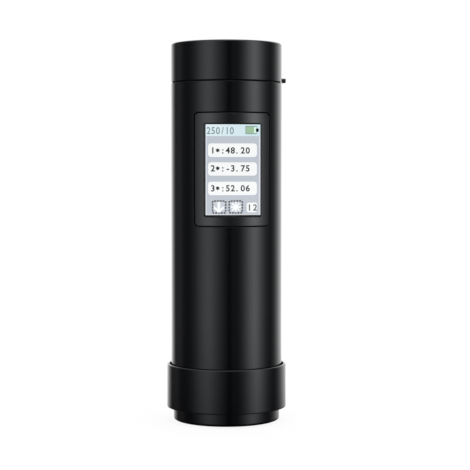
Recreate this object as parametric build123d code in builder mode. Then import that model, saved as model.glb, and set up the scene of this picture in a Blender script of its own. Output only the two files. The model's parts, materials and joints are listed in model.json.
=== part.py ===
from build123d import *

import os
from math import cos, radians, sin

# A portable colorimeter: a black tube with a curved screen panel let into its wall, a pull-off lid on
# top and a calibration cap on the measuring end. It stands upright on that cap. Z is the axis of the
# tube, Z = 0 is the surface it stands on, the screen faces -Y and the power key points along +X.
# Sizes are in millimetres.

os.makedirs("parts", exist_ok=True)

# Driving dimensions of the outside
total_height = 169.7
tube_radius = 25.0
tube_wall = 2.0
collar_radius = 26.9
foot_radius = 23.9
foot_step_z = 6.15
collar_rim_z = 25.75
tube_bottom_z = 10.3
seam_z = 152.1
seam_gap = 0.6

# The screen panel, measured on its chord, and the picture area of the display in it
panel_width = 32.6
panel_height = 49.2
panel_corner = 1.5
panel_z = 113.3
panel_gap = 0.5
picture_width = 24.4
picture_height = 40.0
picture_z = 113.0

# Edges
edge_break = 0.3
slide_gap = 0.45

# Levels along the axis that several pieces share
tube_top_z = seam_z - seam_gap / 2
lid_bottom_z = seam_z + seam_gap / 2
nose_face_z = 8.3
nose_top_z = 14.3
sphere_z = 29.3
sphere_top_flange_z = 31.3
lower_bulkhead_z = 51.3
bulkhead_thick = 3.0
upper_bulkhead_z = 141.3
neck_bottom_z = upper_bulkhead_z + bulkhead_thick
neck_ledge_z = 147.3
charge_board_z = 149.3
deck_z = 158.3
deck_thick = 1.6
deck_top_z = deck_z + deck_thick
neck_top_z = 161.8
board_thick = 1.6

# Radii that several pieces share
bore_radius = tube_radius - tube_wall
insert_radius = bore_radius - 0.05
chassis_radius = bore_radius - 0.2
lid_wall = 1.65
lid_inner_radius = tube_radius - lid_wall
neck_radius = lid_inner_radius - slide_gap
neck_inner_radius = 20.8
post_radius = 3.4
post_orbit = 17.8

# Screws with countersunk heads: M2.5, and M2 for small pieces
screw_radius = 1.25
screw_head_radius = 2.3
small_screw_radius = 0.9
small_head_radius = 1.8

# Cylinders that stand on their place, and a screw with a round raised head
from_base = (Align.CENTER, Align.CENTER, Align.MIN)
pan_head_radius = 2.1
pan_head_high = 1.4
head_room = 0.05

# Screws with round raised heads: M2 for the boards and M1.2 for the light ring and the sensor
board_screw_radius = 1.0
board_head_radius = 1.9
board_head_high = 1.3
fine_screw_radius = 0.6
fine_head_radius = 1.1
fine_head_high = 0.65


def write(piece, name):
    """Labels a finished piece and writes it as one STEP file."""
    piece.part.label = name
    export_step(piece.part, f"parts/{name}.step")
    print(f"{name:18s} solids {len(piece.part.solids()):2d} volume {piece.part.volume:10.1f}")


def turned(points):
    """A solid of revolution about Z from an outline of (radius, height) points."""
    with BuildPart() as solid:
        with BuildSketch(Plane.XZ):
            with BuildLine():
                Polyline(*points, close=True)
            make_face()
        revolve(axis=Axis.Z)
    return solid


def countersunk(head, shank, length):
    """One countersunk screw: the head's face is at Z = 0 and the shank points down."""
    high = head - shank
    return turned([(0, 0), (head, 0), (shank, -high), (shank, -length), (0, -length)])


def pan_screw(head, high, shank, length):
    """One screw with a raised head on Z = 0 and the shank pointing down."""
    crown = head * 0.8
    rim = high / 2
    return turned(
        [(0, high), (crown, high), (head, rim), (head, 0), (shank, 0), (shank, -length), (0, -length)]
    )


def screw_cut(head, shank, length):
    """The hole for a countersunk screw, open past the head's face."""
    high = head - shank
    over = 1.0
    rim = head + head_room
    return turned([(0, over), (rim, over), (rim, 0), (shank, -high), (shank, -length), (0, -length)])


def ring_of(count, orbit, start, plane=Plane.XY):
    """Places on a circle about the axis of a plane."""
    step = 360 / count
    angles = [radians(start + step * index) for index in range(count)]
    return [plane.location * Location((orbit * cos(a), orbit * sin(a), 0)) for a in angles]


def copies(one, places):
    """The same piece at several places, as one group of separate solids."""
    with BuildPart() as group:
        with Locations(*places):
            add(one.part)
    return group


def curved_plate(outer, inner, width, height, corner, middle_z):
    """A plate that follows the tube: a ring between two radii, cut to a rounded rectangle seen from -Y."""
    with BuildPart() as plate:
        with BuildSketch(Plane.XY.offset(middle_z - height)):
            Circle(outer)
            Circle(inner, mode=Mode.SUBTRACT)
        extrude(amount=2 * height)
        with BuildSketch(Plane.XZ.offset(tube_radius / 3)):
            with Locations((0, middle_z)):
                RectangleRounded(width, height, corner)
        extrude(amount=tube_radius, mode=Mode.INTERSECT)
    return plate


def edges_at(piece, height):
    """The round edges of a piece that lie flat at one height."""
    reach = 0.01
    level = piece.edges().filter_by_position(Axis.Z, height - reach, height + reach)
    return level.filter_by(GeomType.CIRCLE)


# %% Calibration cap: the collar and the foot are one cup that covers the measuring end
cup_radius = tube_radius + slide_gap
cup_floor_z = 6.9
tile_pocket_radius = 17.6
tile_pocket_z = 3.6
foot_lift = 0.3
foot_pad_radius = 20.5
foot_pad_top_z = 1.6
foot_fillet = 1.2
rim_fillet = 0.4
rim_relief_radius = 25.85
rim_relief_z = 22.0
rim_inner_fillet = 0.25
groove_z = 16.8
groove_high = 2.6
groove_radius = 26.1
tile_screw_orbit = 20.4
tile_screw_start = 90
tile_screw_length = 4.0

with BuildPart() as cap_shell:
    with BuildSketch(Plane.XZ):
        with BuildLine():
            Polyline(
                (0, foot_pad_top_z),
                (foot_pad_radius, foot_pad_top_z),
                (foot_pad_radius, foot_lift),
                (foot_radius, foot_lift),
                (foot_radius, foot_step_z),
                (collar_radius, foot_step_z),
                (collar_radius, collar_rim_z),
                (rim_relief_radius, collar_rim_z),
                (rim_relief_radius, rim_relief_z),
                (cup_radius, rim_relief_z),
                (cup_radius, groove_z + groove_high),
                (groove_radius, groove_z + groove_high),
                (groove_radius, groove_z),
                (cup_radius, groove_z),
                (cup_radius, cup_floor_z),
                (tile_pocket_radius, cup_floor_z),
                (tile_pocket_radius, tile_pocket_z),
                (0, tile_pocket_z),
                close=True,
            )
        make_face()
    revolve(axis=Axis.Z)
    fillet(edges_at(cap_shell, foot_lift).sort_by(SortBy.RADIUS)[-1], foot_fillet)
    rim_edges = edges_at(cap_shell, collar_rim_z).sort_by(SortBy.RADIUS)
    fillet(rim_edges[-1], rim_fillet)
    fillet(edges_at(cap_shell, collar_rim_z).sort_by(SortBy.RADIUS)[0], rim_inner_fillet)
    fillet(edges_at(cap_shell, foot_step_z).sort_by(SortBy.RADIUS)[-1], rim_fillet)
    with Locations(*ring_of(3, tile_screw_orbit, tile_screw_start, Plane.XY.offset(nose_face_z))):
        Cylinder(small_screw_radius, 2 * tile_screw_length, mode=Mode.SUBTRACT)
write(cap_shell, "cap_shell")

foot_pad_bore = 8.0
foot_pad_edge = 0.7
foot_pad = turned(
    [
        (foot_pad_bore, 0),
        (foot_pad_radius - foot_pad_edge, 0),
        (foot_pad_radius, foot_pad_edge),
        (foot_pad_radius, foot_pad_top_z),
        (foot_pad_bore, foot_pad_top_z),
    ]
)
write(foot_pad, "foot_pad")

# The felt ring that grips the tube fills the groove inside the cup
grip_radius = tube_radius + 0.06
grip_chamfer = 0.5
with BuildPart() as grip_ring:
    with BuildSketch(Plane.XY.offset(groove_z)):
        Circle(groove_radius)
        Circle(grip_radius, mode=Mode.SUBTRACT)
    extrude(amount=groove_high)
    round_edges = grip_ring.edges().filter_by(GeomType.CIRCLE)
    chamfer(round_edges.group_by(SortBy.RADIUS)[0], grip_chamfer)
write(grip_ring, "grip_ring")

# The white tile lies on a foam cushion, and a screwed ring holds it by its edge
tile_bottom_z = 4.4
tile_top_z = 7.6
tile_radius = 17.3
tile_ring_radius = 23.4
tile_ring_bore = 15.2
tile_edge_break = 0.4

with BuildPart() as tile_cushion:
    with BuildSketch(Plane.XY.offset(tile_pocket_z)):
        Circle(tile_radius)
    extrude(amount=tile_bottom_z - tile_pocket_z)
write(tile_cushion, "tile_cushion")

with BuildPart() as white_tile:
    with BuildSketch(Plane.XY.offset(tile_bottom_z)):
        Circle(tile_radius)
    extrude(amount=tile_top_z - tile_bottom_z)
    chamfer(edges_at(white_tile, tile_bottom_z), tile_edge_break)
write(white_tile, "white_tile")

tile_screw_places = ring_of(3, tile_screw_orbit, tile_screw_start, Plane.XY.offset(nose_face_z))
small_cut = screw_cut(small_head_radius, small_screw_radius, tile_screw_length)
with BuildPart() as tile_ring:
    with BuildSketch(Plane.XY.offset(cup_floor_z)):
        Circle(tile_ring_radius)
        Circle(tile_pocket_radius, mode=Mode.SUBTRACT)
    extrude(amount=nose_face_z - cup_floor_z)
    with BuildSketch(Plane.XY.offset(tile_top_z)):
        Circle(tile_ring_radius)
        Circle(tile_ring_bore, mode=Mode.SUBTRACT)
    extrude(amount=nose_face_z - tile_top_z)
    with Locations(*tile_screw_places):
        add(small_cut.part, mode=Mode.SUBTRACT)
write(tile_ring, "tile_ring")

tile_screw = countersunk(small_head_radius, small_screw_radius, tile_screw_length)
write(copies(tile_screw, tile_screw_places), "tile_screws")

# %% Main tube: the housing, with the stepped window that the screen panel drops into
rebate_depth = 1.2
rebate_radius = tube_radius - rebate_depth
window_lip = 2.3
window_width = panel_width + 2 * panel_gap
window_height = panel_height + 2 * panel_gap
opening_width = window_width - 2 * window_lip
opening_height = window_height - 2 * window_lip
opening_corner = 1.0
neck_seat_radius = 23.9

rebate = curved_plate(
    2 * tube_radius, rebate_radius, window_width, window_height, panel_corner + panel_gap, panel_z
)
with BuildPart() as main_tube:
    with BuildSketch(Plane.XY.offset(tube_bottom_z)):
        Circle(tube_radius)
        Circle(bore_radius, mode=Mode.SUBTRACT)
    extrude(amount=tube_top_z - tube_bottom_z)
    with BuildSketch(Plane.XY.offset(neck_ledge_z)):
        Circle(neck_seat_radius)
    extrude(amount=tube_top_z - neck_ledge_z, mode=Mode.SUBTRACT)
    fillet(edges_at(main_tube, tube_top_z).sort_by(SortBy.RADIUS)[-1], edge_break)
    fillet(edges_at(main_tube, tube_bottom_z).sort_by(SortBy.RADIUS)[-1], edge_break)
    add(rebate.part, mode=Mode.SUBTRACT)
    with BuildSketch(Plane.XZ.offset(tube_radius / 3)):
        with Locations((0, panel_z)):
            RectangleRounded(opening_width, opening_height, opening_corner)
    extrude(amount=tube_radius, mode=Mode.SUBTRACT)
write(main_tube, "main_tube")

# %% Screen panel: a curved plate flush with the tube, with a box behind it for the flat display
gasket_thick = 0.2
panel_back_radius = rebate_radius + gasket_thick
gasket_inset = 1.9
box_width = opening_width - 0.4
box_height = opening_height - 0.4
box_back_y = 17.6
glass_y = 21.75
glass_thick = 0.7
glass_gap = 0.05
frame_thick = 1.0
frame_screw_x = 9.0
frame_screw_z = 21.5
frame_screw_radius = 0.6
frame_screw_length = 2.6
frame_corners = [(-1, -1), (1, -1), (-1, 1), (1, 1)]
frame_screw_spots = [(x * frame_screw_x, panel_z + z * frame_screw_z) for x, z in frame_corners]

with BuildPart() as screen_bezel:
    with BuildSketch(Plane.XY.offset(panel_z - box_height / 2)):
        Circle(panel_back_radius)
    extrude(amount=box_height)
    with BuildSketch(Plane.XZ.offset(box_back_y)):
        with Locations((0, panel_z)):
            RectangleRounded(box_width, box_height, opening_corner)
    extrude(amount=tube_radius, mode=Mode.INTERSECT)
    add(curved_plate(tube_radius, panel_back_radius, panel_width, panel_height, panel_corner, panel_z).part)
    with BuildSketch(Plane.XZ.offset(box_back_y - 2)):
        with Locations((0, picture_z)):
            Rectangle(picture_width + 2 * glass_gap, picture_height + 2 * glass_gap)
    extrude(amount=tube_radius, mode=Mode.SUBTRACT)
    with BuildSketch(Plane.XZ.offset(box_back_y - frame_thick)):
        with Locations(*frame_screw_spots):
            Circle(frame_screw_radius)
    extrude(amount=frame_screw_length, mode=Mode.SUBTRACT)
write(screen_bezel, "screen_bezel")

gasket_width = panel_width - 2 * gasket_inset
gasket_height = panel_height - 2 * gasket_inset
gasket_plate = curved_plate(
    panel_back_radius, rebate_radius, panel_width, panel_height, panel_corner, panel_z
)
with BuildPart() as bezel_gasket:
    add(gasket_plate.part)
    with BuildSketch(Plane.XZ.offset(tube_radius / 3)):
        with Locations((0, panel_z)):
            RectangleRounded(gasket_width, gasket_height, opening_corner)
    extrude(amount=tube_radius, mode=Mode.SUBTRACT)
write(bezel_gasket, "bezel_gasket")

with BuildPart() as touch_glass:
    with BuildSketch(Plane.XZ.offset(glass_y - glass_thick)):
        with Locations((0, picture_z)):
            Rectangle(picture_width, picture_height)
    extrude(amount=glass_thick)
write(touch_glass, "touch_glass")

display_thick = 2.0
display_back_y = glass_y - glass_thick - display_thick
display_inset = 0.3
with BuildPart() as display_panel:
    with BuildSketch(Plane.XZ.offset(display_back_y)):
        with Locations((0, picture_z)):
            Rectangle(picture_width - 2 * display_inset, picture_height - 2 * display_inset)
    extrude(amount=display_thick)
write(display_panel, "display_panel")

# The frame is a pressed plate behind the box, with a raised pad that carries the display
frame_pad_inset = 0.6
frame_back_y = box_back_y - frame_thick
frame_window_width = 12.0
frame_window_height = 22.0
with BuildPart() as display_frame:
    with BuildSketch(Plane.XZ.offset(frame_back_y)):
        with Locations((0, panel_z)):
            RectangleRounded(box_width, box_height, opening_corner)
    extrude(amount=frame_thick)
    with BuildSketch(Plane.XZ.offset(frame_back_y)):
        with Locations((0, picture_z)):
            Rectangle(picture_width - 2 * frame_pad_inset, picture_height - 2 * frame_pad_inset)
    extrude(amount=display_back_y - frame_back_y)
    with BuildSketch(Plane.XZ.offset(frame_back_y)):
        with Locations((0, picture_z)):
            RectangleRounded(frame_window_width, frame_window_height, opening_corner)
        with Locations(*frame_screw_spots):
            Circle(frame_screw_radius)
    extrude(amount=tube_radius, mode=Mode.SUBTRACT)
write(display_frame, "display_frame")

# The screws go through the frame into the box, above and below the display
frame_screw_head = 1.2
frame_screw_high = 0.6
frame_screw_plane = Plane.XZ.offset(frame_back_y)
with BuildPart() as display_screws:
    with BuildSketch(frame_screw_plane):
        with Locations(*frame_screw_spots):
            Circle(frame_screw_radius)
    extrude(amount=frame_screw_length)
    with BuildSketch(frame_screw_plane):
        with Locations(*frame_screw_spots):
            Circle(frame_screw_head)
    extrude(amount=-frame_screw_high)
write(display_screws, "display_screws")

# %% Measuring end: the nose plate closes the tube, with its O-ring, screws and aperture glass
nose_radius = 24.7
nose_boss_radius = 13.0
nose_boss_z = 7.7
aperture_radius = 4.0
aperture_z = 8.9
glass_seat_radius = 6.0
aperture_glass_thick = 1.0
nose_groove_z = 11.5
nose_groove_high = 1.7
nose_groove_radius = 21.5
nose_screw_orbit = 17.6
nose_screw_start = 30
nose_screw_length = 12.0
seal_radius = 0.72
nose_seal_gap = 0.02
nose_chamfer = 0.5

nose_under = Plane(origin=(0, 0, nose_face_z), x_dir=(1, 0, 0), z_dir=(0, 0, -1))
nose_screw_places = ring_of(3, nose_screw_orbit, -nose_screw_start, nose_under)
m25_cut = screw_cut(screw_head_radius, screw_radius, nose_screw_length)
with BuildPart() as nose_plate:
    with BuildSketch(Plane.XZ):
        with BuildLine():
            Polyline(
                (aperture_radius, nose_boss_z),
                (nose_boss_radius, nose_boss_z),
                (nose_boss_radius, nose_face_z),
                (nose_radius - nose_chamfer, nose_face_z),
                (nose_radius, nose_face_z + nose_chamfer),
                (nose_radius, tube_bottom_z),
                (insert_radius, tube_bottom_z),
                (insert_radius, nose_groove_z),
                (nose_groove_radius, nose_groove_z),
                (nose_groove_radius, nose_groove_z + nose_groove_high),
                (insert_radius, nose_groove_z + nose_groove_high),
                (insert_radius, nose_top_z),
                (glass_seat_radius, nose_top_z),
                (glass_seat_radius, aperture_z),
                (aperture_radius, aperture_z),
                close=True,
            )
        make_face()
    revolve(axis=Axis.Z)
    with Locations(*nose_screw_places):
        add(m25_cut.part, mode=Mode.SUBTRACT)
write(nose_plate, "nose_plate")

with BuildPart() as nose_seal:
    with BuildSketch(Plane.XZ):
        with Locations((bore_radius - nose_seal_gap - seal_radius, nose_groove_z + nose_groove_high / 2)):
            Circle(seal_radius)
    revolve(axis=Axis.Z)
write(nose_seal, "nose_seal")

nose_screw = countersunk(screw_head_radius, screw_radius, nose_screw_length)
write(copies(nose_screw, nose_screw_places), "nose_screws")

with BuildPart() as aperture_glass:
    with BuildSketch(Plane.XY.offset(aperture_z)):
        Circle(glass_seat_radius)
    extrude(amount=aperture_glass_thick)
write(aperture_glass, "aperture_glass")

# %% Integrating sphere: two blocks that meet at the sphere's equator
sphere_radius = 14.0
sphere_shell = 1.6
sphere_outer_radius = sphere_radius + sphere_shell
block_radius = 20.6
block_wall = 1.5
port_radius = 4.5
port_collar_radius = 5.9
port_bottom_z = aperture_z + aperture_glass_thick
flange_thick = 2.0
boss_radius = 2.6
sphere_screw_start = 90
sphere_screw_orbit = 17.8
sphere_screw_length = 8.0
sphere_screw_depth = 6.0


def sphere_height(radius, shell):
    """How far above or below the sphere's middle a shell lies at one radius."""
    return (shell**2 - radius**2) ** 0.5


port_inner_z = sphere_z - sphere_height(port_radius, sphere_radius)
collar_outer_z = sphere_z - sphere_height(port_collar_radius, sphere_outer_radius)
under_flange_z = sphere_z - flange_thick
under_flange_radius = sphere_height(flange_thick, sphere_outer_radius)
block_bore = block_radius - block_wall

with BuildPart() as sphere_lower:
    with BuildSketch(Plane.XZ):
        with BuildLine():
            Polyline(
                (port_radius, port_inner_z),
                (port_radius, port_bottom_z),
                (port_collar_radius, port_bottom_z),
                (port_collar_radius, collar_outer_z),
            )
            RadiusArc(
                (port_collar_radius, collar_outer_z),
                (under_flange_radius, under_flange_z),
                -sphere_outer_radius,
            )
            Polyline(
                (under_flange_radius, under_flange_z),
                (block_bore, under_flange_z),
                (block_bore, nose_top_z),
                (block_radius, nose_top_z),
                (block_radius, sphere_z),
                (sphere_radius, sphere_z),
            )
            RadiusArc((sphere_radius, sphere_z), (port_radius, port_inner_z), sphere_radius)
        make_face()
    revolve(axis=Axis.Z)
    with Locations(*ring_of(3, nose_screw_orbit, nose_screw_start, Plane.XY.offset(nose_top_z))):
        Cylinder(boss_radius, under_flange_z - nose_top_z, align=from_base)
    sphere_screw_low = Plane.XY.offset(sphere_top_flange_z - sphere_screw_length)
    with Locations(*ring_of(3, sphere_screw_orbit, sphere_screw_start, sphere_screw_low)):
        Cylinder(boss_radius, sphere_screw_depth, align=from_base)
        Cylinder(
            screw_radius, 2 * sphere_screw_length,
            align=from_base, mode=Mode.SUBTRACT,
        )
    with Locations(*nose_screw_places):
        add(m25_cut.part, mode=Mode.SUBTRACT)
write(sphere_lower, "sphere_lower")

# The upper block carries the light ring, three posts for the chassis and the tilted sensor boss
led_seat_z = 39.7
led_orbit = 13.5
led_count = 6
led_start = 0
led_port_radius = 1.1
led_pad_start = 30
led_pad_radius = 1.2
led_pad_high = 0.8
head_post_radius = 2.5
sensor_tilt = 8.0
sensor_bore_radius = 3.2
sensor_boss_radius = 5.2
sensor_boss_reach = 38.6
sensor_boss_start = 33.0
seat_shoulder_radius = sphere_height(led_seat_z - sphere_z, sphere_outer_radius)
head_post_high = lower_bulkhead_z - sphere_top_flange_z
head_post_places = ring_of(3, sphere_screw_orbit, nose_screw_start, Plane.XY.offset(sphere_top_flange_z))
sphere_screw_places = ring_of(3, sphere_screw_orbit, sphere_screw_start, Plane.XY.offset(sphere_top_flange_z))
led_pad_places = ring_of(3, led_orbit, led_pad_start, Plane.XY.offset(led_seat_z))
head_screw_places = ring_of(
    3, sphere_screw_orbit, nose_screw_start, Plane.XY.offset(lower_bulkhead_z + bulkhead_thick)
)
head_screw_length = 9.0

# The sensor looks at the middle of the measured spot along this tilted axis
sensor_direction = (sin(radians(sensor_tilt)), 0, cos(radians(sensor_tilt)))
sensor_plane = Plane(origin=(0, 0, nose_boss_z), x_dir=(0, 1, 0), z_dir=sensor_direction)

with BuildPart() as sphere_upper:
    with BuildSketch(Plane.XZ):
        with BuildLine():
            Polyline(
                (0, sphere_z + sphere_radius),
                (0, sphere_z + sphere_outer_radius),
            )
            RadiusArc(
                (0, sphere_z + sphere_outer_radius),
                (seat_shoulder_radius, led_seat_z),
                sphere_outer_radius,
            )
            Polyline(
                (seat_shoulder_radius, led_seat_z),
                (sphere_outer_radius, led_seat_z),
                (sphere_outer_radius, sphere_top_flange_z),
                (block_radius, sphere_top_flange_z),
                (block_radius, sphere_z),
                (sphere_radius, sphere_z),
            )
            RadiusArc((sphere_radius, sphere_z), (0, sphere_z + sphere_radius), -sphere_radius)
        make_face()
    revolve(axis=Axis.Z)
    with Locations(*head_post_places):
        Cylinder(head_post_radius, head_post_high, align=from_base)
    with Locations(*led_pad_places):
        Cylinder(led_pad_radius, led_pad_high, align=from_base)
    with Locations(sensor_plane.offset(sensor_boss_start)):
        Cylinder(sensor_boss_radius, sensor_boss_reach - sensor_boss_start, align=from_base)
    with Locations((0, 0, sphere_z)):
        Sphere(sphere_radius, mode=Mode.SUBTRACT)
    with Locations(sensor_plane.offset(sensor_boss_start - sphere_shell)):
        Cylinder(sensor_bore_radius, sphere_radius, align=from_base, mode=Mode.SUBTRACT)
    with Locations(*ring_of(led_count, led_orbit, led_start, Plane.XY.offset(sphere_z))):
        Cylinder(led_port_radius, sphere_radius, align=from_base, mode=Mode.SUBTRACT)
    with Locations(*sphere_screw_places):
        Cylinder(screw_radius, 2 * flange_thick + 1, mode=Mode.SUBTRACT)
    with Locations(*head_screw_places):
        Cylinder(screw_radius, 2 * head_screw_length, mode=Mode.SUBTRACT)
write(sphere_upper, "sphere_upper")

sphere_screw = pan_screw(pan_head_radius, pan_head_high, screw_radius, sphere_screw_length - 0.5)
write(copies(sphere_screw, sphere_screw_places), "sphere_screws")

# %% Light source: a ring board with six LEDs that shine down through the ports
led_width = 2.4
led_board_z = led_seat_z + led_pad_high
led_board_thick = 1.0
led_board_bore = seat_shoulder_radius + 0.1
led_board_radius = 15.2
led_board_top = Plane.XY.offset(led_board_z + led_board_thick)
led_screw_places = ring_of(3, led_orbit, led_pad_start, led_board_top)

with BuildPart() as led_board:
    with BuildSketch(Plane.XY.offset(led_board_z)):
        Circle(led_board_radius)
        Circle(led_board_bore, mode=Mode.SUBTRACT)
    extrude(amount=led_board_thick)
    with Locations(*led_screw_places):
        Cylinder(fine_screw_radius, 4 * led_board_thick, mode=Mode.SUBTRACT)
write(led_board, "led_board")

with BuildPart() as leds:
    with Locations(*ring_of(led_count, led_orbit, led_start, Plane.XY.offset(led_seat_z))):
        Box(led_width, led_width, led_pad_high, align=from_base)
write(leds, "leds")

led_screw = pan_screw(fine_head_radius, fine_head_high, fine_screw_radius, led_board_thick)
write(copies(led_screw, led_screw_places), "led_screws")

# %% Sensor: a barrel in the tilted boss, with a lens below and the sensor board on top
barrel_start = 34.0
barrel_bore = 2.7
barrel_top_radius = 6.2
barrel_top = 41.0
lens_start = 35.4
lens_thick = 1.6
lens_curve = 0.5
sensor_board_radius = 6.4
sensor_board_thick = 1.0
sensor_chip_width = 3.4
sensor_chip_high = 0.9
sensor_screw_offset = 4.6
sensor_screw_length = 2.0


def along_sensor(distance):
    """The plane across the sensor's axis at a distance from the measured spot."""
    return sensor_plane.offset(distance)


with BuildPart() as sensor_barrel:
    with BuildSketch(along_sensor(barrel_start)):
        Circle(sensor_bore_radius)
    extrude(amount=sensor_boss_reach - barrel_start)
    with BuildSketch(along_sensor(sensor_boss_reach)):
        Circle(barrel_top_radius)
    extrude(amount=barrel_top - sensor_boss_reach)
    with BuildSketch(along_sensor(barrel_start)):
        Circle(barrel_bore)
    extrude(amount=barrel_top - barrel_start, mode=Mode.SUBTRACT)
    with Locations(along_sensor(barrel_top)):
        with Locations((0, sensor_screw_offset), (0, -sensor_screw_offset)):
            Cylinder(fine_screw_radius, 4 * sensor_board_thick, mode=Mode.SUBTRACT)
write(sensor_barrel, "sensor_barrel")

with BuildPart() as sensor_lens:
    with BuildSketch(along_sensor(lens_start)):
        Circle(barrel_bore)
    extrude(amount=lens_thick)
    fillet(sensor_lens.edges().filter_by(GeomType.CIRCLE), lens_curve)
write(sensor_lens, "sensor_lens")

with BuildPart() as sensor_board:
    with BuildSketch(along_sensor(barrel_top)):
        Circle(sensor_board_radius)
        with Locations((0, sensor_screw_offset), (0, -sensor_screw_offset)):
            Circle(fine_screw_radius, mode=Mode.SUBTRACT)
    extrude(amount=sensor_board_thick)
write(sensor_board, "sensor_board")

with BuildPart() as sensor_chip:
    with BuildSketch(along_sensor(barrel_top)):
        Rectangle(sensor_chip_width, sensor_chip_width)
    extrude(amount=-sensor_chip_high)
write(sensor_chip, "sensor_chip")

sensor_screw = pan_screw(fine_head_radius, fine_head_high, fine_screw_radius, sensor_screw_length)
with BuildPart() as sensor_screws:
    with Locations(along_sensor(barrel_top + sensor_board_thick)):
        with Locations((0, sensor_screw_offset), (0, -sensor_screw_offset)):
            add(sensor_screw.part)
write(sensor_screws, "sensor_screws")

# %% Chassis: the sled, two bulkheads joined by a spine that carries the board and the battery
spine_width = 38.4
spine_front_y = -1.2
spine_thick = 2.0
rail_thick = 1.6
rail_depth = 12.0
spine_middle_y = spine_front_y + spine_thick / 2
spine_z = lower_bulkhead_z + bulkhead_thick
spine_high = upper_bulkhead_z - spine_z
board_back_y = -9.0
board_post_x = 13.5
board_post_z = (63.3, 131.3)
board_post_radius = 2.6
board_screw_length = 6.0
board_screw_spots = [(x, z) for x in (-board_post_x, board_post_x) for z in board_post_z]
slot_width = 8.0
slot_high = 14.0
slot_z = (84.3, 105.3)
cell_radius = 9.25
cell_y = 11.6
cell_bottom_z = 62.3
cell_long = 65.0
cradle_width = 15.0
cradle_thick = 3.0
cradle_reach = 13.0
cradle_z = (70.3, 114.3)
shelf_z = cell_bottom_z - cradle_thick
shelf_reach = 18.0
strap_z = 91.3
strap_high = 8.0
strap_thick = 0.5
strap_gap = 0.05
lead_hole_z = 131.7
lead_hole_width = 3.6
lead_hole_high = 7.0
lead_y = -12.2
sensor_lead_x = 8.0
charge_lead_x = -6.0
lead_slot_width = 6.0
lead_slot_y = -8.6
lead_slot_depth = 14.6
standoff_radius = 2.3
standoff_orbit = 9.5
standoff_start = 90
standoff_high = charge_board_z - neck_bottom_z
standoff_hole_depth = 4.0
shelf_corner = 3.0
lead_slot_corner = 1.0
neck_screw_length = 10.0
neck_post_start = 60
neck_post_places = ring_of(3, post_orbit, neck_post_start, Plane.XY.offset(neck_bottom_z))
upper_under = Plane(origin=(0, 0, upper_bulkhead_z), x_dir=(1, 0, 0), z_dir=(0, 0, -1))
neck_screw_places = ring_of(3, post_orbit, neck_post_start, upper_under)
strap_inner = cell_radius + strap_gap
strap_outer = strap_inner + strap_thick
strap_front_y = spine_front_y - strap_gap
bulkhead_cut = screw_cut(screw_head_radius, screw_radius, bulkhead_thick + 1)

with BuildPart() as chassis:
    for level in (lower_bulkhead_z, upper_bulkhead_z):
        with BuildSketch(Plane.XY.offset(level)):
            Circle(chassis_radius)
        extrude(amount=bulkhead_thick)
    with BuildSketch(Plane.XY.offset(spine_z)):
        with Locations((0, spine_middle_y)):
            Rectangle(spine_width, spine_thick)
        with GridLocations(spine_width - rail_thick, 0, 2, 1):
            Rectangle(rail_thick, rail_depth)
    extrude(amount=spine_high)
    for level in cradle_z:
        with BuildSketch(Plane.XY.offset(level)):
            with Locations((0, spine_middle_y)):
                Rectangle(cradle_width, cradle_reach, align=(Align.CENTER, Align.MIN))
            with Locations((0, cell_y)):
                Circle(cell_radius, mode=Mode.SUBTRACT)
        extrude(amount=cradle_thick)
    with BuildSketch(Plane.XY.offset(shelf_z)):
        with Locations((0, spine_middle_y)):
            RectangleRounded(cradle_width, 2 * shelf_reach, shelf_corner)
            Rectangle(spine_width, 2 * shelf_reach, align=(Align.CENTER, Align.MAX), mode=Mode.SUBTRACT)
    extrude(amount=cradle_thick)
    with BuildSketch(Plane.XZ.offset(-spine_front_y)):
        with Locations(*board_screw_spots):
            Circle(board_post_radius)
    extrude(amount=spine_front_y - board_back_y)
    with Locations(*ring_of(3, standoff_orbit, standoff_start, Plane.XY.offset(neck_bottom_z))):
        Cylinder(standoff_radius, standoff_high, align=from_base)
    with BuildSketch(Plane.XZ.offset(spine_thick)):
        for level in slot_z:
            with Locations((0, level)):
                SlotOverall(slot_high, slot_width, rotation=90)
        with Locations((0, lead_hole_z)):
            SlotOverall(lead_hole_high, lead_hole_width, rotation=90)
        with GridLocations(2 * strap_inner + strap_thick, 0, 2, 1):
            with Locations((0, strap_z + strap_high / 2)):
                Rectangle(strap_thick + 4 * strap_gap, strap_high + 4 * strap_gap)
    extrude(amount=-2 * spine_thick, mode=Mode.SUBTRACT)
    for level, x in ((lower_bulkhead_z, sensor_lead_x), (upper_bulkhead_z, charge_lead_x)):
        with BuildSketch(Plane.XY.offset(level)):
            with Locations((x, lead_slot_y)):
                RectangleRounded(lead_slot_width, lead_slot_depth, lead_slot_corner)
        extrude(amount=bulkhead_thick, mode=Mode.SUBTRACT)
    with Locations(*[Location((x, board_back_y, z), (90, 0, 0)) for x, z in board_screw_spots]):
        Cylinder(board_screw_radius, 2 * board_screw_length, mode=Mode.SUBTRACT)
    with Locations(*ring_of(3, standoff_orbit, standoff_start, Plane.XY.offset(charge_board_z))):
        Cylinder(board_screw_radius, 2 * standoff_hole_depth, mode=Mode.SUBTRACT)
    with Locations(*head_screw_places, *neck_screw_places):
        add(bulkhead_cut.part, mode=Mode.SUBTRACT)
write(chassis, "chassis")

head_screw = countersunk(screw_head_radius, screw_radius, head_screw_length)
write(copies(head_screw, head_screw_places), "head_screws")
neck_screw = countersunk(screw_head_radius, screw_radius, neck_screw_length)
write(copies(neck_screw, neck_screw_places), "neck_screws")

# %% Battery: a round cell in the cradle, with its guard board, strap and lead
guard_radius = 8.8
guard_thick = 1.2
cell_top_z = cell_bottom_z + cell_long
cell_edge = 0.8
with BuildPart() as battery_cell:
    with Locations((0, cell_y, cell_bottom_z)):
        Cylinder(cell_radius, cell_long, align=from_base)
    fillet(battery_cell.edges().filter_by(GeomType.CIRCLE), cell_edge)
write(battery_cell, "battery_cell")

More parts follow.
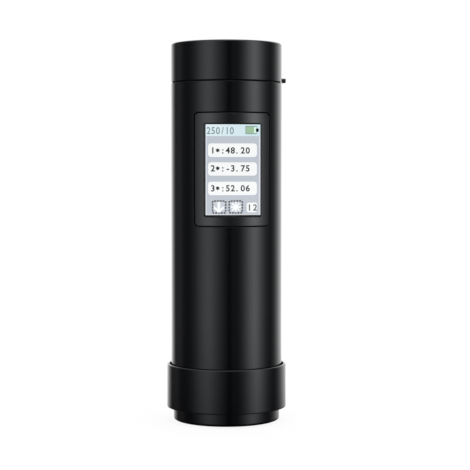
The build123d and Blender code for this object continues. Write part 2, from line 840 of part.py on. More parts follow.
with BuildPart() as cell_guard_board:
    with Locations((0, cell_y, cell_top_z)):
        Cylinder(guard_radius - cell_edge, guard_thick, align=from_base)
write(cell_guard_board, "cell_guard_board")

with BuildPart() as battery_strap:
    with BuildSketch(Plane.XY.offset(strap_z)):
        with Locations((0, cell_y)):
            Circle(strap_outer)
        with Locations((0, strap_front_y - strap_thick)):
            Rectangle(2 * strap_outer, cell_y - strap_front_y + strap_thick, align=(Align.CENTER, Align.MIN))
        with Locations((0, cell_y)):
            Circle(strap_inner, mode=Mode.SUBTRACT)
        with Locations((0, strap_front_y)):
            Rectangle(
                2 * strap_inner, cell_y - strap_front_y,
                align=(Align.CENTER, Align.MIN), mode=Mode.SUBTRACT,
            )
    extrude(amount=strap_high)
write(battery_strap, "battery_strap")

# %% Main board: it stands on four posts in front of the spine, with its parts on the front face
board_width = 34.0
board_high = 78.0
board_z = 97.3
board_corner = 1.5
board_front_y = board_back_y - board_thick
front_plane = Plane.XZ.offset(-board_front_y)
back_plane = Plane.XZ.offset(-board_back_y)

with BuildPart() as main_board:
    with BuildSketch(back_plane):
        with Locations((0, board_z)):
            RectangleRounded(board_width, board_high, board_corner)
        with Locations(*board_screw_spots):
            Circle(board_screw_radius, mode=Mode.SUBTRACT)
    extrude(amount=board_thick)
write(main_board, "main_board")

board_screw = pan_screw(board_head_radius, board_head_high, board_screw_radius, board_screw_length)
board_screw_places = [Location((x, board_front_y, z), (90, 0, 0)) for x, z in board_screw_spots]
write(copies(board_screw, board_screw_places), "board_screws")

# Each chip is a centre on the board, a width, a height and how far it stands off
chips = (
    (-6.0, 105.3, 11.0, 11.0, 1.2),
    (8.0, 107.3, 8.0, 6.0, 1.0),
    (7.5, 97.3, 5.0, 5.0, 0.9),
    (-9.0, 93.3, 4.0, 5.0, 1.0),
    (-10.0, 121.3, 5.0, 4.0, 1.6),
    (-3.0, 87.3, 6.0, 4.0, 1.1),
)
with BuildPart() as board_chips:
    for x, z, wide, high, depth in chips:
        with BuildSketch(front_plane):
            with Locations((x, z)):
                Rectangle(wide, high)
        extrude(amount=depth)
write(board_chips, "board_chips")

# The radio is a small board of its own with a pressed can over its lower part
radio_x = 5.5
radio_z = 122.3
radio_width = 14.0
radio_high = 11.0
radio_thick = 0.8
can_z = 120.9
can_width = 12.6
can_high = 7.4
can_corner = 0.6
can_depth = 1.4
with BuildPart() as radio_module:
    with BuildSketch(front_plane):
        with Locations((radio_x, radio_z)):
            Rectangle(radio_width, radio_high)
    extrude(amount=radio_thick)
    with BuildSketch(front_plane.offset(radio_thick)):
        with Locations((radio_x, can_z)):
            RectangleRounded(can_width, can_high, can_corner)
    extrude(amount=can_depth)
write(radio_module, "radio_module")

buzzer_spot = (-9.5, 73.3)
buzzer_radius = 4.5
buzzer_high = 2.6
buzzer_hole_radius = 0.8
buzzer_hole_depth = 1.2
with BuildPart() as buzzer:
    with BuildSketch(front_plane):
        with Locations(buzzer_spot):
            Circle(buzzer_radius)
    extrude(amount=buzzer_high)
    with BuildSketch(front_plane.offset(buzzer_high)):
        with Locations(buzzer_spot):
            Circle(buzzer_hole_radius)
    extrude(amount=-buzzer_hole_depth, mode=Mode.SUBTRACT)
write(buzzer, "buzzer")

# %% Connectors and leads
connector_depth = 3.4
ribbon_socket_z = 79.3
ribbon_socket_high = 3.0
ribbon_socket_depth = 1.5
ribbon_width = 11.0
ribbon_thick = 0.2
ribbon_shell = 0.8
ribbon_top_z = 97.3
ribbon_flat = 4.0
ribbon_ease = 1.6
battery_socket_width = 6.0
battery_socket_high = 4.0
side_socket_depth = 2 * (board_front_y - lead_y)
charge_socket_z = 131.9
sensor_socket_z = 59.7
side_socket_high = 3.2
side_socket_width = 5.4
battery_socket_z = 130.9
lead_radius = 0.8

with BuildPart() as board_sockets:
    with BuildSketch(front_plane):
        with Locations((0, ribbon_socket_z)):
            Rectangle(ribbon_width + 2 * ribbon_shell, ribbon_socket_high)
    extrude(amount=ribbon_socket_depth)
    with BuildSketch(front_plane):
        with Locations((charge_lead_x, charge_socket_z), (sensor_lead_x, sensor_socket_z)):
            Rectangle(side_socket_width, side_socket_high)
    extrude(amount=side_socket_depth)
    with BuildSketch(back_plane):
        with Locations((0, battery_socket_z)):
            Rectangle(battery_socket_width, battery_socket_high)
    extrude(amount=-connector_depth)
write(board_sockets, "board_sockets")

# The display's ribbon leaves the back of its frame and bends down into its socket
ribbon_start = (-(frame_back_y - ribbon_thick / 2), ribbon_top_z)
ribbon_end = (board_front_y - ribbon_socket_depth / 2, ribbon_socket_z + ribbon_socket_high / 2)
with BuildPart() as display_ribbon:
    with BuildLine(Plane.YZ):
        flat = Line(ribbon_start, (ribbon_start[0], ribbon_top_z - ribbon_flat))
        Spline(
            flat @ 1, ribbon_end,
            tangents=((0, -1), (0, -1)), tangent_scalars=(ribbon_ease, ribbon_ease),
        )
    with BuildSketch(Plane(origin=(0, *ribbon_start), x_dir=(1, 0, 0), z_dir=(0, 0, -1))):
        Rectangle(ribbon_width, ribbon_thick)
    sweep()
write(display_ribbon, "display_ribbon")


def lead(start, start_way, end, end_way, name):
    """A round lead that leaves one face and enters another, drawn along a smooth curve."""
    with BuildPart() as cord:
        with BuildLine():
            Spline(start, end, tangents=(start_way, end_way))
        with BuildSketch(Plane(origin=start, z_dir=start_way)):
            Circle(lead_radius)
        sweep()
    write(cord, name)


charge_socket_top = charge_socket_z + side_socket_high / 2
sensor_socket_bottom = sensor_socket_z - side_socket_high / 2
guard_top_z = cell_top_z + guard_thick
battery_lead_end = (0, board_back_y + connector_depth, battery_socket_z)
charge_lead_end = (charge_lead_x, lead_y, charge_socket_top)
lead((charge_lead_x, lead_y, charge_board_z), (0, 0, -1), charge_lead_end, (0, 0, -1), "charge_lead")
sensor_lead_start = along_sensor(barrel_top + sensor_board_thick).from_local_coords((-2.0, 0, 0))
sensor_lead_end = (sensor_lead_x, lead_y, sensor_socket_bottom)
lead(sensor_lead_start.to_tuple(), sensor_direction, sensor_lead_end, (0, 0, 1), "sensor_lead")
battery_lead_start = (0, cell_y - 2, guard_top_z)
lead(battery_lead_start, (0, 0, 1), battery_lead_end, (0, -1, 0), "battery_lead")

# %% Neck: the spigot in the top of the tube that carries the deck and takes the lid
key_z = 153.4
key_radius = 1.05
key_hole_radius = key_radius + 0.1
neck_groove_z = 156.1
neck_groove_high = 1.8
neck_groove_radius = neck_radius - 1.1
neck_play = 0.05
neck_shoulder_radius = neck_seat_radius - neck_play
neck_chamfer = 0.4
lid_seal_gap = 0.06
deck_screw_length = 6.0
deck_screw_places = ring_of(3, post_orbit, neck_post_start, Plane.XY.offset(deck_top_z))
key_pocket_x = 16.0
key_pocket_long = 10.0
neck_cut = screw_cut(screw_head_radius, screw_radius, neck_screw_length)
deck_cut = screw_cut(screw_head_radius, screw_radius, deck_screw_length)

with BuildPart() as neck:
    with BuildSketch(Plane.XZ):
        with BuildLine():
            Polyline(
                (neck_inner_radius, neck_bottom_z),
                (insert_radius, neck_bottom_z),
                (insert_radius, neck_ledge_z),
                (neck_shoulder_radius, neck_ledge_z),
                (neck_shoulder_radius, tube_top_z),
                (neck_radius, tube_top_z),
                (neck_radius, neck_groove_z),
                (neck_groove_radius, neck_groove_z),
                (neck_groove_radius, neck_groove_z + neck_groove_high),
                (neck_radius, neck_groove_z + neck_groove_high),
                (neck_radius, neck_top_z - neck_chamfer),
                (neck_radius - neck_chamfer, neck_top_z),
                (neck_inner_radius, neck_top_z),
                close=True,
            )
        make_face()
    revolve(axis=Axis.Z)
    with Locations(*neck_post_places):
        Cylinder(post_radius, deck_z - neck_bottom_z, align=from_base)
    with Locations((0, 0, key_z)):
        with Locations(Location((key_pocket_x, 0, 0), (0, 90, 0))):
            Cylinder(key_hole_radius, key_pocket_long, align=from_base, mode=Mode.SUBTRACT)
    with BuildSketch(Plane.XY.offset(deck_z)):
        Circle(neck_inner_radius)
    extrude(amount=neck_top_z - deck_z, mode=Mode.SUBTRACT)
    with Locations(*deck_screw_places):
        add(deck_cut.part, mode=Mode.SUBTRACT)
    with Locations(*neck_screw_places):
        add(neck_cut.part, mode=Mode.SUBTRACT)
write(neck, "neck")

# %% Lid washer: a split plastic ring on the tube's end that the lid stands on, open at the key
washer_radius = 24.4
washer_gap_wide = 3.2
lid_washer_gap = 0.06
washer_thick = lid_bottom_z - tube_top_z - lid_washer_gap

with BuildPart() as lid_washer:
    with BuildSketch(Plane.XY.offset(tube_top_z)):
        Circle(washer_radius)
        Circle(neck_radius + neck_play, mode=Mode.SUBTRACT)
        with Locations((washer_radius, 0)):
            Rectangle(lid_wall * 4, washer_gap_wide, mode=Mode.SUBTRACT)
    extrude(amount=washer_thick)
write(lid_washer, "lid_washer")

with BuildPart() as lid_seal:
    with BuildSketch(Plane.XZ):
        with Locations((lid_inner_radius - lid_seal_gap - seal_radius, neck_groove_z + neck_groove_high / 2)):
            Circle(seal_radius)
    revolve(axis=Axis.Z)
write(lid_seal, "lid_seal")

# %% Charging board on its three stand-offs, with the socket, the light and the key's switch
charge_board_radius = 20.2
charge_board_top_z = charge_board_z + board_thick
post_clearance = 0.3
socket_x = 0.0
socket_y = -4.0
socket_width = 8.94
socket_depth = 3.26
socket_wall = 0.3
tongue_width = 6.7
tongue_depth = 0.7
tongue_drop = 1.0
light_y = 4.0
light_radius = 1.25
light_chip_width = 2.0
light_chip_depth = 1.4
led_chip_high = 0.8
charge_screw_length = 5.0
socket_floor = 2.0

with BuildPart() as charge_board:
    with BuildSketch(Plane.XY.offset(charge_board_z)):
        Circle(charge_board_radius)
        with PolarLocations(post_orbit, 3, start_angle=neck_post_start):
            Circle(post_radius + post_clearance, mode=Mode.SUBTRACT)
        with PolarLocations(standoff_orbit, 3, start_angle=standoff_start):
            Circle(board_screw_radius, mode=Mode.SUBTRACT)
    extrude(amount=board_thick)
write(charge_board, "charge_board")

charge_screw_places = ring_of(3, standoff_orbit, standoff_start, Plane.XY.offset(charge_board_top_z))
charge_screw = pan_screw(board_head_radius, board_head_high, board_screw_radius, charge_screw_length)
write(copies(charge_screw, charge_screw_places), "charge_screws")

with BuildPart() as usb_socket:
    with BuildSketch(Plane.XY.offset(charge_board_top_z)):
        with Locations((socket_x, socket_y)):
            SlotOverall(socket_width, socket_depth)
    extrude(amount=deck_top_z - charge_board_top_z)
    with BuildSketch(Plane.XY.offset(charge_board_top_z + socket_floor)):
        with Locations((socket_x, socket_y)):
            SlotOverall(socket_width - 2 * socket_wall, socket_depth - 2 * socket_wall)
            Rectangle(tongue_width, tongue_depth, mode=Mode.SUBTRACT)
    extrude(amount=deck_top_z - charge_board_top_z, mode=Mode.SUBTRACT)
    with BuildSketch(Plane.XY.offset(deck_top_z - tongue_drop)):
        with Locations((socket_x, socket_y)):
            Rectangle(tongue_width, tongue_depth)
    extrude(amount=tongue_drop, mode=Mode.SUBTRACT)
write(usb_socket, "usb_socket")

with BuildPart() as charge_light:
    with Locations((0, light_y, charge_board_top_z)):
        Box(light_chip_width, light_chip_depth, led_chip_high, align=from_base)
write(charge_light, "charge_light")

with BuildPart() as light_pipe:
    with Locations((0, light_y, charge_board_top_z + led_chip_high)):
        Cylinder(light_radius, deck_top_z - charge_board_top_z - led_chip_high, align=from_base)
write(light_pipe, "light_pipe")

with BuildPart() as top_deck:
    with BuildSketch(Plane.XY.offset(deck_z)):
        Circle(neck_inner_radius)
        with Locations((socket_x, socket_y)):
            SlotOverall(socket_width, socket_depth, mode=Mode.SUBTRACT)
        with Locations((0, light_y)):
            Circle(light_radius, mode=Mode.SUBTRACT)
    extrude(amount=deck_thick)
    with Locations(*deck_screw_places):
        add(deck_cut.part, mode=Mode.SUBTRACT)
write(top_deck, "top_deck")
deck_screw = countersunk(screw_head_radius, screw_radius, deck_screw_length)
write(copies(deck_screw, deck_screw_places), "deck_screws")

# %% Power key: a plunger through the neck, its return spring and the switch behind it
key_tip_x = 27.0
key_travel = 0.5
key_flange_x = 19.7
key_flange_thick = 0.8
key_flange_radius = 1.9
key_stem_radius = 0.7
switch_front_x = 16.4
switch_size = 4.6
switch_depth = 3.4
switch_button_high = 0.7
switch_button_radius = 0.9
key_play = 0.05
key_stem_x = switch_front_x + switch_button_high + key_travel + key_play
key_dome = 0.25
spring_wire = 0.22
spring_wire_sides = 6
spring_radius = 1.25
spring_turns = 3.5
spring_rest_gap = 0.7
key_plane = Plane(origin=(0, 0, key_z), x_dir=(0, 1, 0), z_dir=(1, 0, 0))

with BuildPart() as power_key:
    with BuildSketch(key_plane.offset(key_stem_x)):
        Circle(key_stem_radius)
    extrude(amount=key_flange_x - key_stem_x)
    with BuildSketch(key_plane.offset(key_flange_x)):
        Circle(key_flange_radius)
    extrude(amount=key_flange_thick)
    with BuildSketch(key_plane.offset(key_flange_x + key_flange_thick)):
        Circle(key_radius)
    extrude(amount=key_tip_x - key_flange_x - key_flange_thick)
    fillet(power_key.faces().sort_by(Axis.X)[-1].edges(), key_dome)
write(power_key, "power_key")

spring_long = key_flange_x - switch_front_x - spring_rest_gap
with BuildPart() as key_spring:
    with BuildLine():
        coil = Helix(
            spring_long / spring_turns, spring_long - 2 * spring_wire, spring_radius,
            center=(key_flange_x - spring_long + spring_wire, 0, key_z), direction=(1, 0, 0),
        )
    with BuildSketch(Plane(origin=coil @ 0, z_dir=coil % 0)):
        RegularPolygon(spring_wire, spring_wire_sides)
    sweep(is_frenet=True)
write(key_spring, "key_spring")

with BuildPart() as key_switch:
    with Locations((switch_front_x - switch_depth, 0, charge_board_top_z)):
        Box(switch_depth, switch_size, switch_size, align=(Align.MIN, Align.CENTER, Align.MIN))
    with BuildSketch(key_plane.offset(switch_front_x)):
        Circle(switch_button_radius)
    extrude(amount=switch_button_high)
write(key_switch, "key_switch")

# %% Top lid: a turned cup that pushes on over the neck, with a notch in its rim for the key
lid_top_thick = 1.9
lid_edge = 1.0
lid_inner_edge = 1.0
notch_gap = 0.35
notch_half = key_radius + notch_gap
lid_inside_z = total_height - lid_top_thick
with BuildPart() as top_lid:
    with BuildSketch(Plane.XY.offset(lid_bottom_z)):
        Circle(tube_radius)
    extrude(amount=total_height - lid_bottom_z)
    with BuildSketch(Plane.XY.offset(lid_bottom_z)):
        Circle(lid_inner_radius)
    extrude(amount=lid_inside_z - lid_bottom_z, mode=Mode.SUBTRACT)
    fillet(edges_at(top_lid, total_height), lid_edge)
    fillet(edges_at(top_lid, lid_inside_z), lid_inner_edge)
    fillet(edges_at(top_lid, lid_bottom_z).sort_by(SortBy.RADIUS)[-1], edge_break)
    with BuildSketch(key_plane.offset(tube_radius / 2)):
        Circle(notch_half)
        Rectangle(2 * notch_half, 2 * key_radius, align=(Align.CENTER, Align.MAX))
    extrude(amount=tube_radius, mode=Mode.SUBTRACT)
write(top_lid, "top_lid")
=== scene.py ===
import json
from math import asin, cos, pi, radians, sin, sqrt, tan

import bmesh
import bpy
from mathutils import Matrix, Vector


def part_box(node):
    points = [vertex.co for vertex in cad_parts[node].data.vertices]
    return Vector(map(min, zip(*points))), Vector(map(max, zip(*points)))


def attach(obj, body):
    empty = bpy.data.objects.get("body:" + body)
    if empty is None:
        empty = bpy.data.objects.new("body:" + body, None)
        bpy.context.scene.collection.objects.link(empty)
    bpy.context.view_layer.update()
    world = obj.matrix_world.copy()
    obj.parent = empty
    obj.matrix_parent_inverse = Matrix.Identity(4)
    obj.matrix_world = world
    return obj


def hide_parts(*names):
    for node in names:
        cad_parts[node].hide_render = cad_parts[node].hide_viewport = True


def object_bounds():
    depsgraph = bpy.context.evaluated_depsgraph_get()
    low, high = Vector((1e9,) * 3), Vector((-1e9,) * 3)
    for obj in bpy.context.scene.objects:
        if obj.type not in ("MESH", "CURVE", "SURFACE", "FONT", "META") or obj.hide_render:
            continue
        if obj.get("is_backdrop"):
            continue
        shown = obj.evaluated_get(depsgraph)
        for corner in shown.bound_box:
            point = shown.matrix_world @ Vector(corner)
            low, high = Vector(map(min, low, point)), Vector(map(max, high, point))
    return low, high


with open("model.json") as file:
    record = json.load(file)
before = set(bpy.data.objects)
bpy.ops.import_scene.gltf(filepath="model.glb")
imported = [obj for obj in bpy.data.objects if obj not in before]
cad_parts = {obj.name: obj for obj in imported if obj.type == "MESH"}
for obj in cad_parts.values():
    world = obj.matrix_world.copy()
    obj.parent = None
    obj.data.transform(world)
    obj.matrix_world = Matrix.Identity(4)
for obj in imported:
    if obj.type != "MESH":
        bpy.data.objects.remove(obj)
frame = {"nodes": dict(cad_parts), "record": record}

# %% [markdown]
# # A portable colorimeter, dressed
#
# The instrument is a gloss black tube about 170 mm high. A curved panel with a flat screen is let into its
# wall, a pull-off lid closes the top, and the collar and foot at the bottom are one cup that holds the
# white calibration tile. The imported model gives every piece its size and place. This lesson gives the
# outside pieces their smooth true shape, gives every piece its finish, and leaves the rest of the model
# where it is.
#
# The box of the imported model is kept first, so that the dressed model can be compared with it at the end.

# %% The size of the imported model
cad_bounds = [list(corner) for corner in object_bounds()]
nodes = frame["nodes"]
bodies = frame["record"]["behaviour"]["bodies"]
body_of_node = {node: body for body, members in bodies.items() for node in members}
MM = 0.001
print("packed model, mm:", [[round(value / MM, 2) for value in corner] for corner in cad_bounds])

# %% [markdown]
# ## Sizes that the shapes share
#
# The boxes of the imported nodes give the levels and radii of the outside, so nothing has to be fitted by
# hand. A small function turns one box into the numbers that a turned piece needs. Only the roundings that
# catch the light and the walls that no box shows are written out here.

# %% Levels and radii of the outside, in metres


def turned_box(node):
    """The radius, the lowest level and the highest level of a piece that is turned about the Z axis."""
    low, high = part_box(node)
    return high.y, low.z, high.z


tube_radius, tube_bottom, tube_top = turned_box("main_tube")
lid_radius, lid_bottom, lid_top = turned_box("top_lid")
collar_radius, _, collar_top = turned_box("cap_shell")
_, neck_bottom, neck_top = turned_box("neck")
deck_radius, deck_bottom, deck_top = turned_box("top_deck")
seam_width = lid_bottom - tube_top
tube_wall = 2.0 * MM
bore_radius = tube_radius - tube_wall
print(f"tube {tube_radius / MM:.2f}, collar {collar_radius / MM:.2f}, seam {seam_width / MM:.2f} mm")

# %% [markdown]
# ## Shapes that are turned
#
# Nearly everything outside is turned on a lathe or moulded round. Screw and Spin modifiers could turn an
# outline, but a fine mesh made point by point keeps control of the poles and of the roundings. An outline
# is a list of radius, level and rounding. Each corner with a rounding becomes a short arc, because it is
# these thin arcs that show as bright lines along the edges of gloss plastic.

# %% Rounding an outline, and turning it


def rounded(outline, steps=5):
    """An outline of (radius, level, rounding) corners with its corners turned into short arcs."""
    points = []
    count = len(outline)
    for index, (x, z, rounding) in enumerate(outline):
        corner = Vector((x, z))
        if not rounding:
            points.append(corner)
            continue
        before = (Vector(outline[index - 1][:2]) - corner).normalized()
        after = (Vector(outline[(index + 1) % count][:2]) - corner).normalized()
        half_angle = before.angle(after) / 2
        reach = rounding / tan(half_angle)
        middle = corner + (before + after).normalized() * (rounding / sin(half_angle))
        start = corner + before * reach - middle
        end = corner + after * reach - middle
        sweep = start.angle_signed(end)
        for step in range(steps + 1):
            turn = -sweep * step / steps
            points.append(middle + Matrix.Rotation(turn, 2) @ start)
    return points


def crease(bm, sharp=38):
    """Breaks the smooth shading at edges where two faces meet at more than sharp degrees."""
    for edge in bm.edges:
        edge.smooth = not (edge.is_manifold and edge.calc_face_angle() > radians(sharp))


def new_piece(name, bm):
    """A mesh object from a bmesh, smooth but for its creases."""
    bmesh.ops.recalc_face_normals(bm, faces=bm.faces)
    for face in bm.faces:
        face.smooth = True
    crease(bm)
    mesh = bpy.data.meshes.new(name)
    bm.to_mesh(mesh)
    bm.free()
    piece = bpy.data.objects.new(name, mesh)
    bpy.context.scene.collection.objects.link(piece)
    return piece


def lathe(name, outline, segments=224):
    """A closed solid turned about Z from an outline that runs once round its section."""
    bm = bmesh.new()
    rings = []
    for radius, level in rounded(outline):
        if radius < 1e-7:
            rings.append([bm.verts.new((0, 0, level))])
            continue
        angles = [2 * pi * index / segments for index in range(segments)]
        rings.append([bm.verts.new((radius * cos(a), radius * sin(a), level)) for a in angles])
    for index, ring in enumerate(rings):
        following = rings[(index + 1) % len(rings)]
        if len(ring) == 1 and len(following) == 1:
            continue
        for step in range(segments):
            near = [ring[step % len(ring)], ring[(step + 1) % len(ring)]]
            far = [following[(step + 1) % len(following)], following[step % len(following)]]
            corners = near + far
            unique = [v for place, v in enumerate(corners) if v not in corners[:place]]
            bm.faces.new(unique)
    return new_piece(name, bm)


def disc(name, radius, low, high, low_rounding=0, high_rounding=0, segments=224):
    """A plain disc or bar between two levels, with its two edges rounded."""
    outline = [(0, high, 0), (radius, high, high_rounding), (radius, low, low_rounding), (0, low, 0)]
    return lathe(name, outline, segments)


# %% [markdown]
# ## Windows in a curved wall
#
# The tube has a stepped window, and the panel that fills it has a straight-sided hole for the glass. A
# Boolean cut would leave thin slivers, which show as scratches in a gloss finish. Here the wall is made of
# upright strips instead. The outline of a window is a rounded rectangle seen from the front, and each of
# its points lies on an edge between two strips, so every strip is true to the cylinder.

# %% Rounded rectangles laid on a cylinder


def window_outline(width, height, corner, middle_z, columns=(), arc_steps=6):
    """Half of a rounded rectangle, left to right: each point is a base and the direction of its offset."""
    half_x = width / 2 - corner
    half_z = height / 2 - corner
    arc = [radians(180 + 90 * step / arc_steps) for step in range(arc_steps + 1)]
    left = [(-half_x, cos(a), sin(a)) for a in arc]
    run = [(x, 0.0, -1.0) for x in sorted(columns) if -half_x + 1e-6 < x < half_x - 1e-6]
    right = [(half_x, -cos(a), sin(a)) for a in reversed(arc)]
    return {"points": left + run + right, "half_z": half_z, "corner": corner, "middle": middle_z}


def add_loop(bm, outline, offset, radius=None, flat_y=None):
    """An outline, moved outward by the offset, laid on a cylinder that faces -Y or on a flat at one y.

    Its two halves come back as vertices: lower, left to right, and upper, left to right.
    """
    reach = outline["corner"] + offset
    lower, upper = [], []
    for base, way_x, way_z in outline["points"]:
        x = base + reach * way_x
        z = outline["half_z"] - reach * way_z
        y = flat_y if radius is None else -sqrt(radius * radius - x * x)
        lower.append(Vector((x, y, outline["middle"] - z)))
        upper.append(Vector((x, y, outline["middle"] + z)))
    return [[bm.verts.new(point) for point in half] for half in (lower, upper)]


def once_round(loop):
    """The two halves of a loop as one list of vertices."""
    return loop[0] + loop[1][::-1]


def join_rings(bm, first, second):
    """A band of quads between two closed rings that have the same number of vertices."""
    for index in range(len(first)):
        after = (index + 1) % len(first)
        bm.faces.new((first[index], first[after], second[after], second[index]))


def join_loops(bm, *loops):
    """Bands of quads from each loop to the next."""
    for first, second in zip(loops, loops[1:]):
        join_rings(bm, once_round(first), once_round(second))


def edge_columns(columns, radius, steps=150):
    """The angles of upright lines round a cylinder: the given places across the front, even steps behind."""
    front = [asin(x / radius) for x in columns]
    span = 2 * pi - (front[-1] - front[0])
    return front + [front[-1] + span * step / steps for step in range(1, steps)]


def ring_at(bm, angles, radius, level):
    """Vertices round the Z axis at the given angles from -Y."""
    return [bm.verts.new((radius * sin(a), -radius * cos(a), level)) for a in angles]


def wall_round_window(bm, bottom_ring, top_ring, loop):
    """Strips of a cylinder wall between two rings, left open inside the loop."""
    lower, upper = loop
    last = len(lower) - 1
    for index in range(last):
        bm.faces.new((bottom_ring[index], bottom_ring[index + 1], lower[index + 1], lower[index]))
        bm.faces.new((upper[index], upper[index + 1], top_ring[index + 1], top_ring[index]))
    count = len(bottom_ring)
    for index in range(last, count):
        after = (index + 1) % count
        corners = [bottom_ring[index], bottom_ring[after]]
        if after == 0:
            corners += [lower[0], upper[0]]
        corners += [top_ring[after], top_ring[index]]
        if index == last:
            corners += [upper[last], lower[last]]
        bm.faces.new(corners)


def close_between(bm, first, second):
    """Closes the flat gap between two loops or rings that have different numbers of points."""
    edges = []
    for ring in (first, second):
        for index in range(len(ring)):
            pair = (ring[index], ring[(index + 1) % len(ring)])
            edges.append(bm.edges.get(pair) or bm.edges.new(pair))
    bmesh.ops.bridge_loops(bm, edges=edges)


def true_round(piece):
    """Gives faces that lie upright on a cylinder about Z the cylinder's own normals."""
    mesh = piece.data
    normals = [entry.vector.copy() for entry in mesh.corner_normals]
    for face in mesh.polygons:
        outward = Vector((face.center.x, face.center.y, 0)).normalized()
        facing = face.normal.dot(outward)
        radii = [mesh.vertices[index].co.xy.length for index in face.vertices]
        if abs(facing) < 0.999 or max(radii) - min(radii) > 2e-6:
            continue
        for corner in face.loop_indices:
            place = mesh.vertices[mesh.loops[corner].vertex_index].co
            way = Vector((place.x, place.y, 0)).normalized()
            normals[corner] = way if facing > 0 else -way
    mesh.normals_split_custom_set(normals)


def true_flat(piece, axis=2):
    """Gives faces square to an axis their own normals, so that they shade evenly up to edges and holes."""
    mesh = piece.data
    normals = [entry.vector.copy() for entry in mesh.corner_normals]
    for face in mesh.polygons:
        if abs(face.normal[axis]) > 0.9999:
            for corner in face.loop_indices:
                normals[corner] = face.normal.copy()
    mesh.normals_split_custom_set(normals)

# %% [markdown]
# ## Finishes
#
# Each finish is a small tree of nodes on one Principled shader. A noise in Object coordinates varies the
# roughness, because moulded and turned surfaces are never even, and a second, finer noise gives a bump of
# a few thousandths of a millimetre. A number that is the same all over sits on the shader's own socket,
# so that it survives an export. The record's slots name the finishes, and each finish is kept by its name.

# %% A finish with grain
finishes = {}


def new_finish(name, colour, roughness, metallic=0.0, **sockets):
    """A material with one Principled shader, kept in the list of finishes."""
    material = finishes[name] = bpy.data.materials.new(name)
    material.use_nodes = True
    shader = material.node_tree.nodes["Principled BSDF"]
    shader.inputs["Base Color"].default_value = (*colour, 1)
    shader.inputs["Roughness"].default_value = roughness
    shader.inputs["Metallic"].default_value = metallic
    for socket, value in sockets.items():
        shader.inputs[socket.replace("_", " ").title().replace("Ior", "IOR")].default_value = value
    return material, shader


def node(owner, kind, inputs=(), **settings):
    """One node in a material, a world or a tree of its own.

    Inputs are numbers, outputs of other nodes, or whole nodes, which stand for their first output.
    """
    tree = getattr(owner, "node_tree", owner)
    made = tree.nodes.new(kind)
    for setting, value in settings.items():
        setattr(made, setting, value)
    for socket, value in dict(inputs).items():
        if isinstance(value, bpy.types.Node):
            value = value.outputs[0]
        if isinstance(value, bpy.types.NodeSocket):
            tree.links.new(value, made.inputs[socket])
        else:
            made.inputs[socket].default_value = value
    return made


def link(owner, output, target):
    """Joins an output to an input of another node."""
    owner.node_tree.links.new(output, target)


def object_place(material, stretch=(1, 1, 1), turn=(0, 0, 0)):
    """The place on the object in metres, stretched and turned by a Mapping node."""
    place = node(material, "ShaderNodeTexCoord").outputs["Object"]
    mapping = node(material, "ShaderNodeMapping", {"Vector": place, "Scale": stretch, "Rotation": turn})
    return mapping.outputs["Vector"]


def noise(material, place, size_mm, detail=3.0, rough=0.55):
    """A noise whose lumps are about size_mm across."""
    settings = {"Vector": place, "Scale": 1000 / size_mm, "Detail": detail, "Roughness": rough}
    return node(material, "ShaderNodeTexNoise", settings).outputs["Fac"]


def in_range(material, value, low, high, start=0.3, end=0.7):
    """A value brought from one range to another. Most of a noise lies between 0.3 and 0.7."""
    ranges = {"Value": value, "From Min": start, "From Max": end, "To Min": low, "To Max": high}
    return node(material, "ShaderNodeMapRange", ranges).outputs["Result"]


def two_tone(material, shader, value, first, second, start=0.35, end=0.65):
    """The base colour goes from one tone to another with a value."""
    ramp = node(material, "ShaderNodeValToRGB", {"Fac": value})
    for stop, position, tone in zip(ramp.color_ramp.elements, (start, end), (first, second)):
        stop.position = position
        stop.color = (*tone, 1)
    link(material, ramp.outputs["Color"], shader.inputs["Base Color"])


def bumped(material, shader, value, depth_mm):
    """A bump of depth_mm from a value between 0 and 1."""
    heights = {"Height": value, "Strength": 1.0, "Distance": depth_mm * MM}
    link(material, node(material, "ShaderNodeBump", heights).outputs["Normal"], shader.inputs["Normal"])


def uneven_gloss(material, shader, value, low, high):
    """The roughness goes up and down with a noise."""
    link(material, in_range(material, value, low, high), shader.inputs["Roughness"])


def shades(colour, share):
    """A colour made lighter or darker by a share."""
    return [channel * share for channel in colour]


def moulded(name, colour, roughness, vary=0.04, patch=9.0, grain=0.5, depth=0.004, tone=1.25, **sockets):
    """Moulded plastic or rubber: uneven gloss in broad patches, and a fine grain."""
    material, shader = new_finish(name, colour, roughness, **sockets)
    place = object_place(material)
    uneven_gloss(material, shader, noise(material, place, patch), roughness - vary, roughness + vary)
    fine = noise(material, place, grain, detail=2)
    two_tone(material, shader, fine, colour, shades(colour, tone))
    bumped(material, shader, fine, depth)


def metal(name, colour, roughness, stretch=(1, 1, 40), grain=1.2, depth=0.004, **sockets):
    """Turned, rolled or brushed metal: a noise drawn out along the tool's path."""
    material, shader = new_finish(name, colour, roughness, metallic=1.0, **sockets)
    lines = noise(material, object_place(material, stretch), grain, detail=4)
    uneven_gloss(material, shader, lines, roughness * 0.7, roughness * 1.4)
    two_tone(material, shader, lines, shades(colour, 0.86), colour)
    bumped(material, shader, lines, depth)


print("finish helpers are ready")

# %% [markdown]
# ## Gloss black plastic
#
# The tube, the lid and the cup are moulded in black ABS and polished. Black gloss shows almost nothing of
# its own colour: what one sees is a weak mirror of the studio, softened a little. So the colour is nearly
# black, the roughness is low, and the bump is so shallow that it only breaks the edge of a reflection.

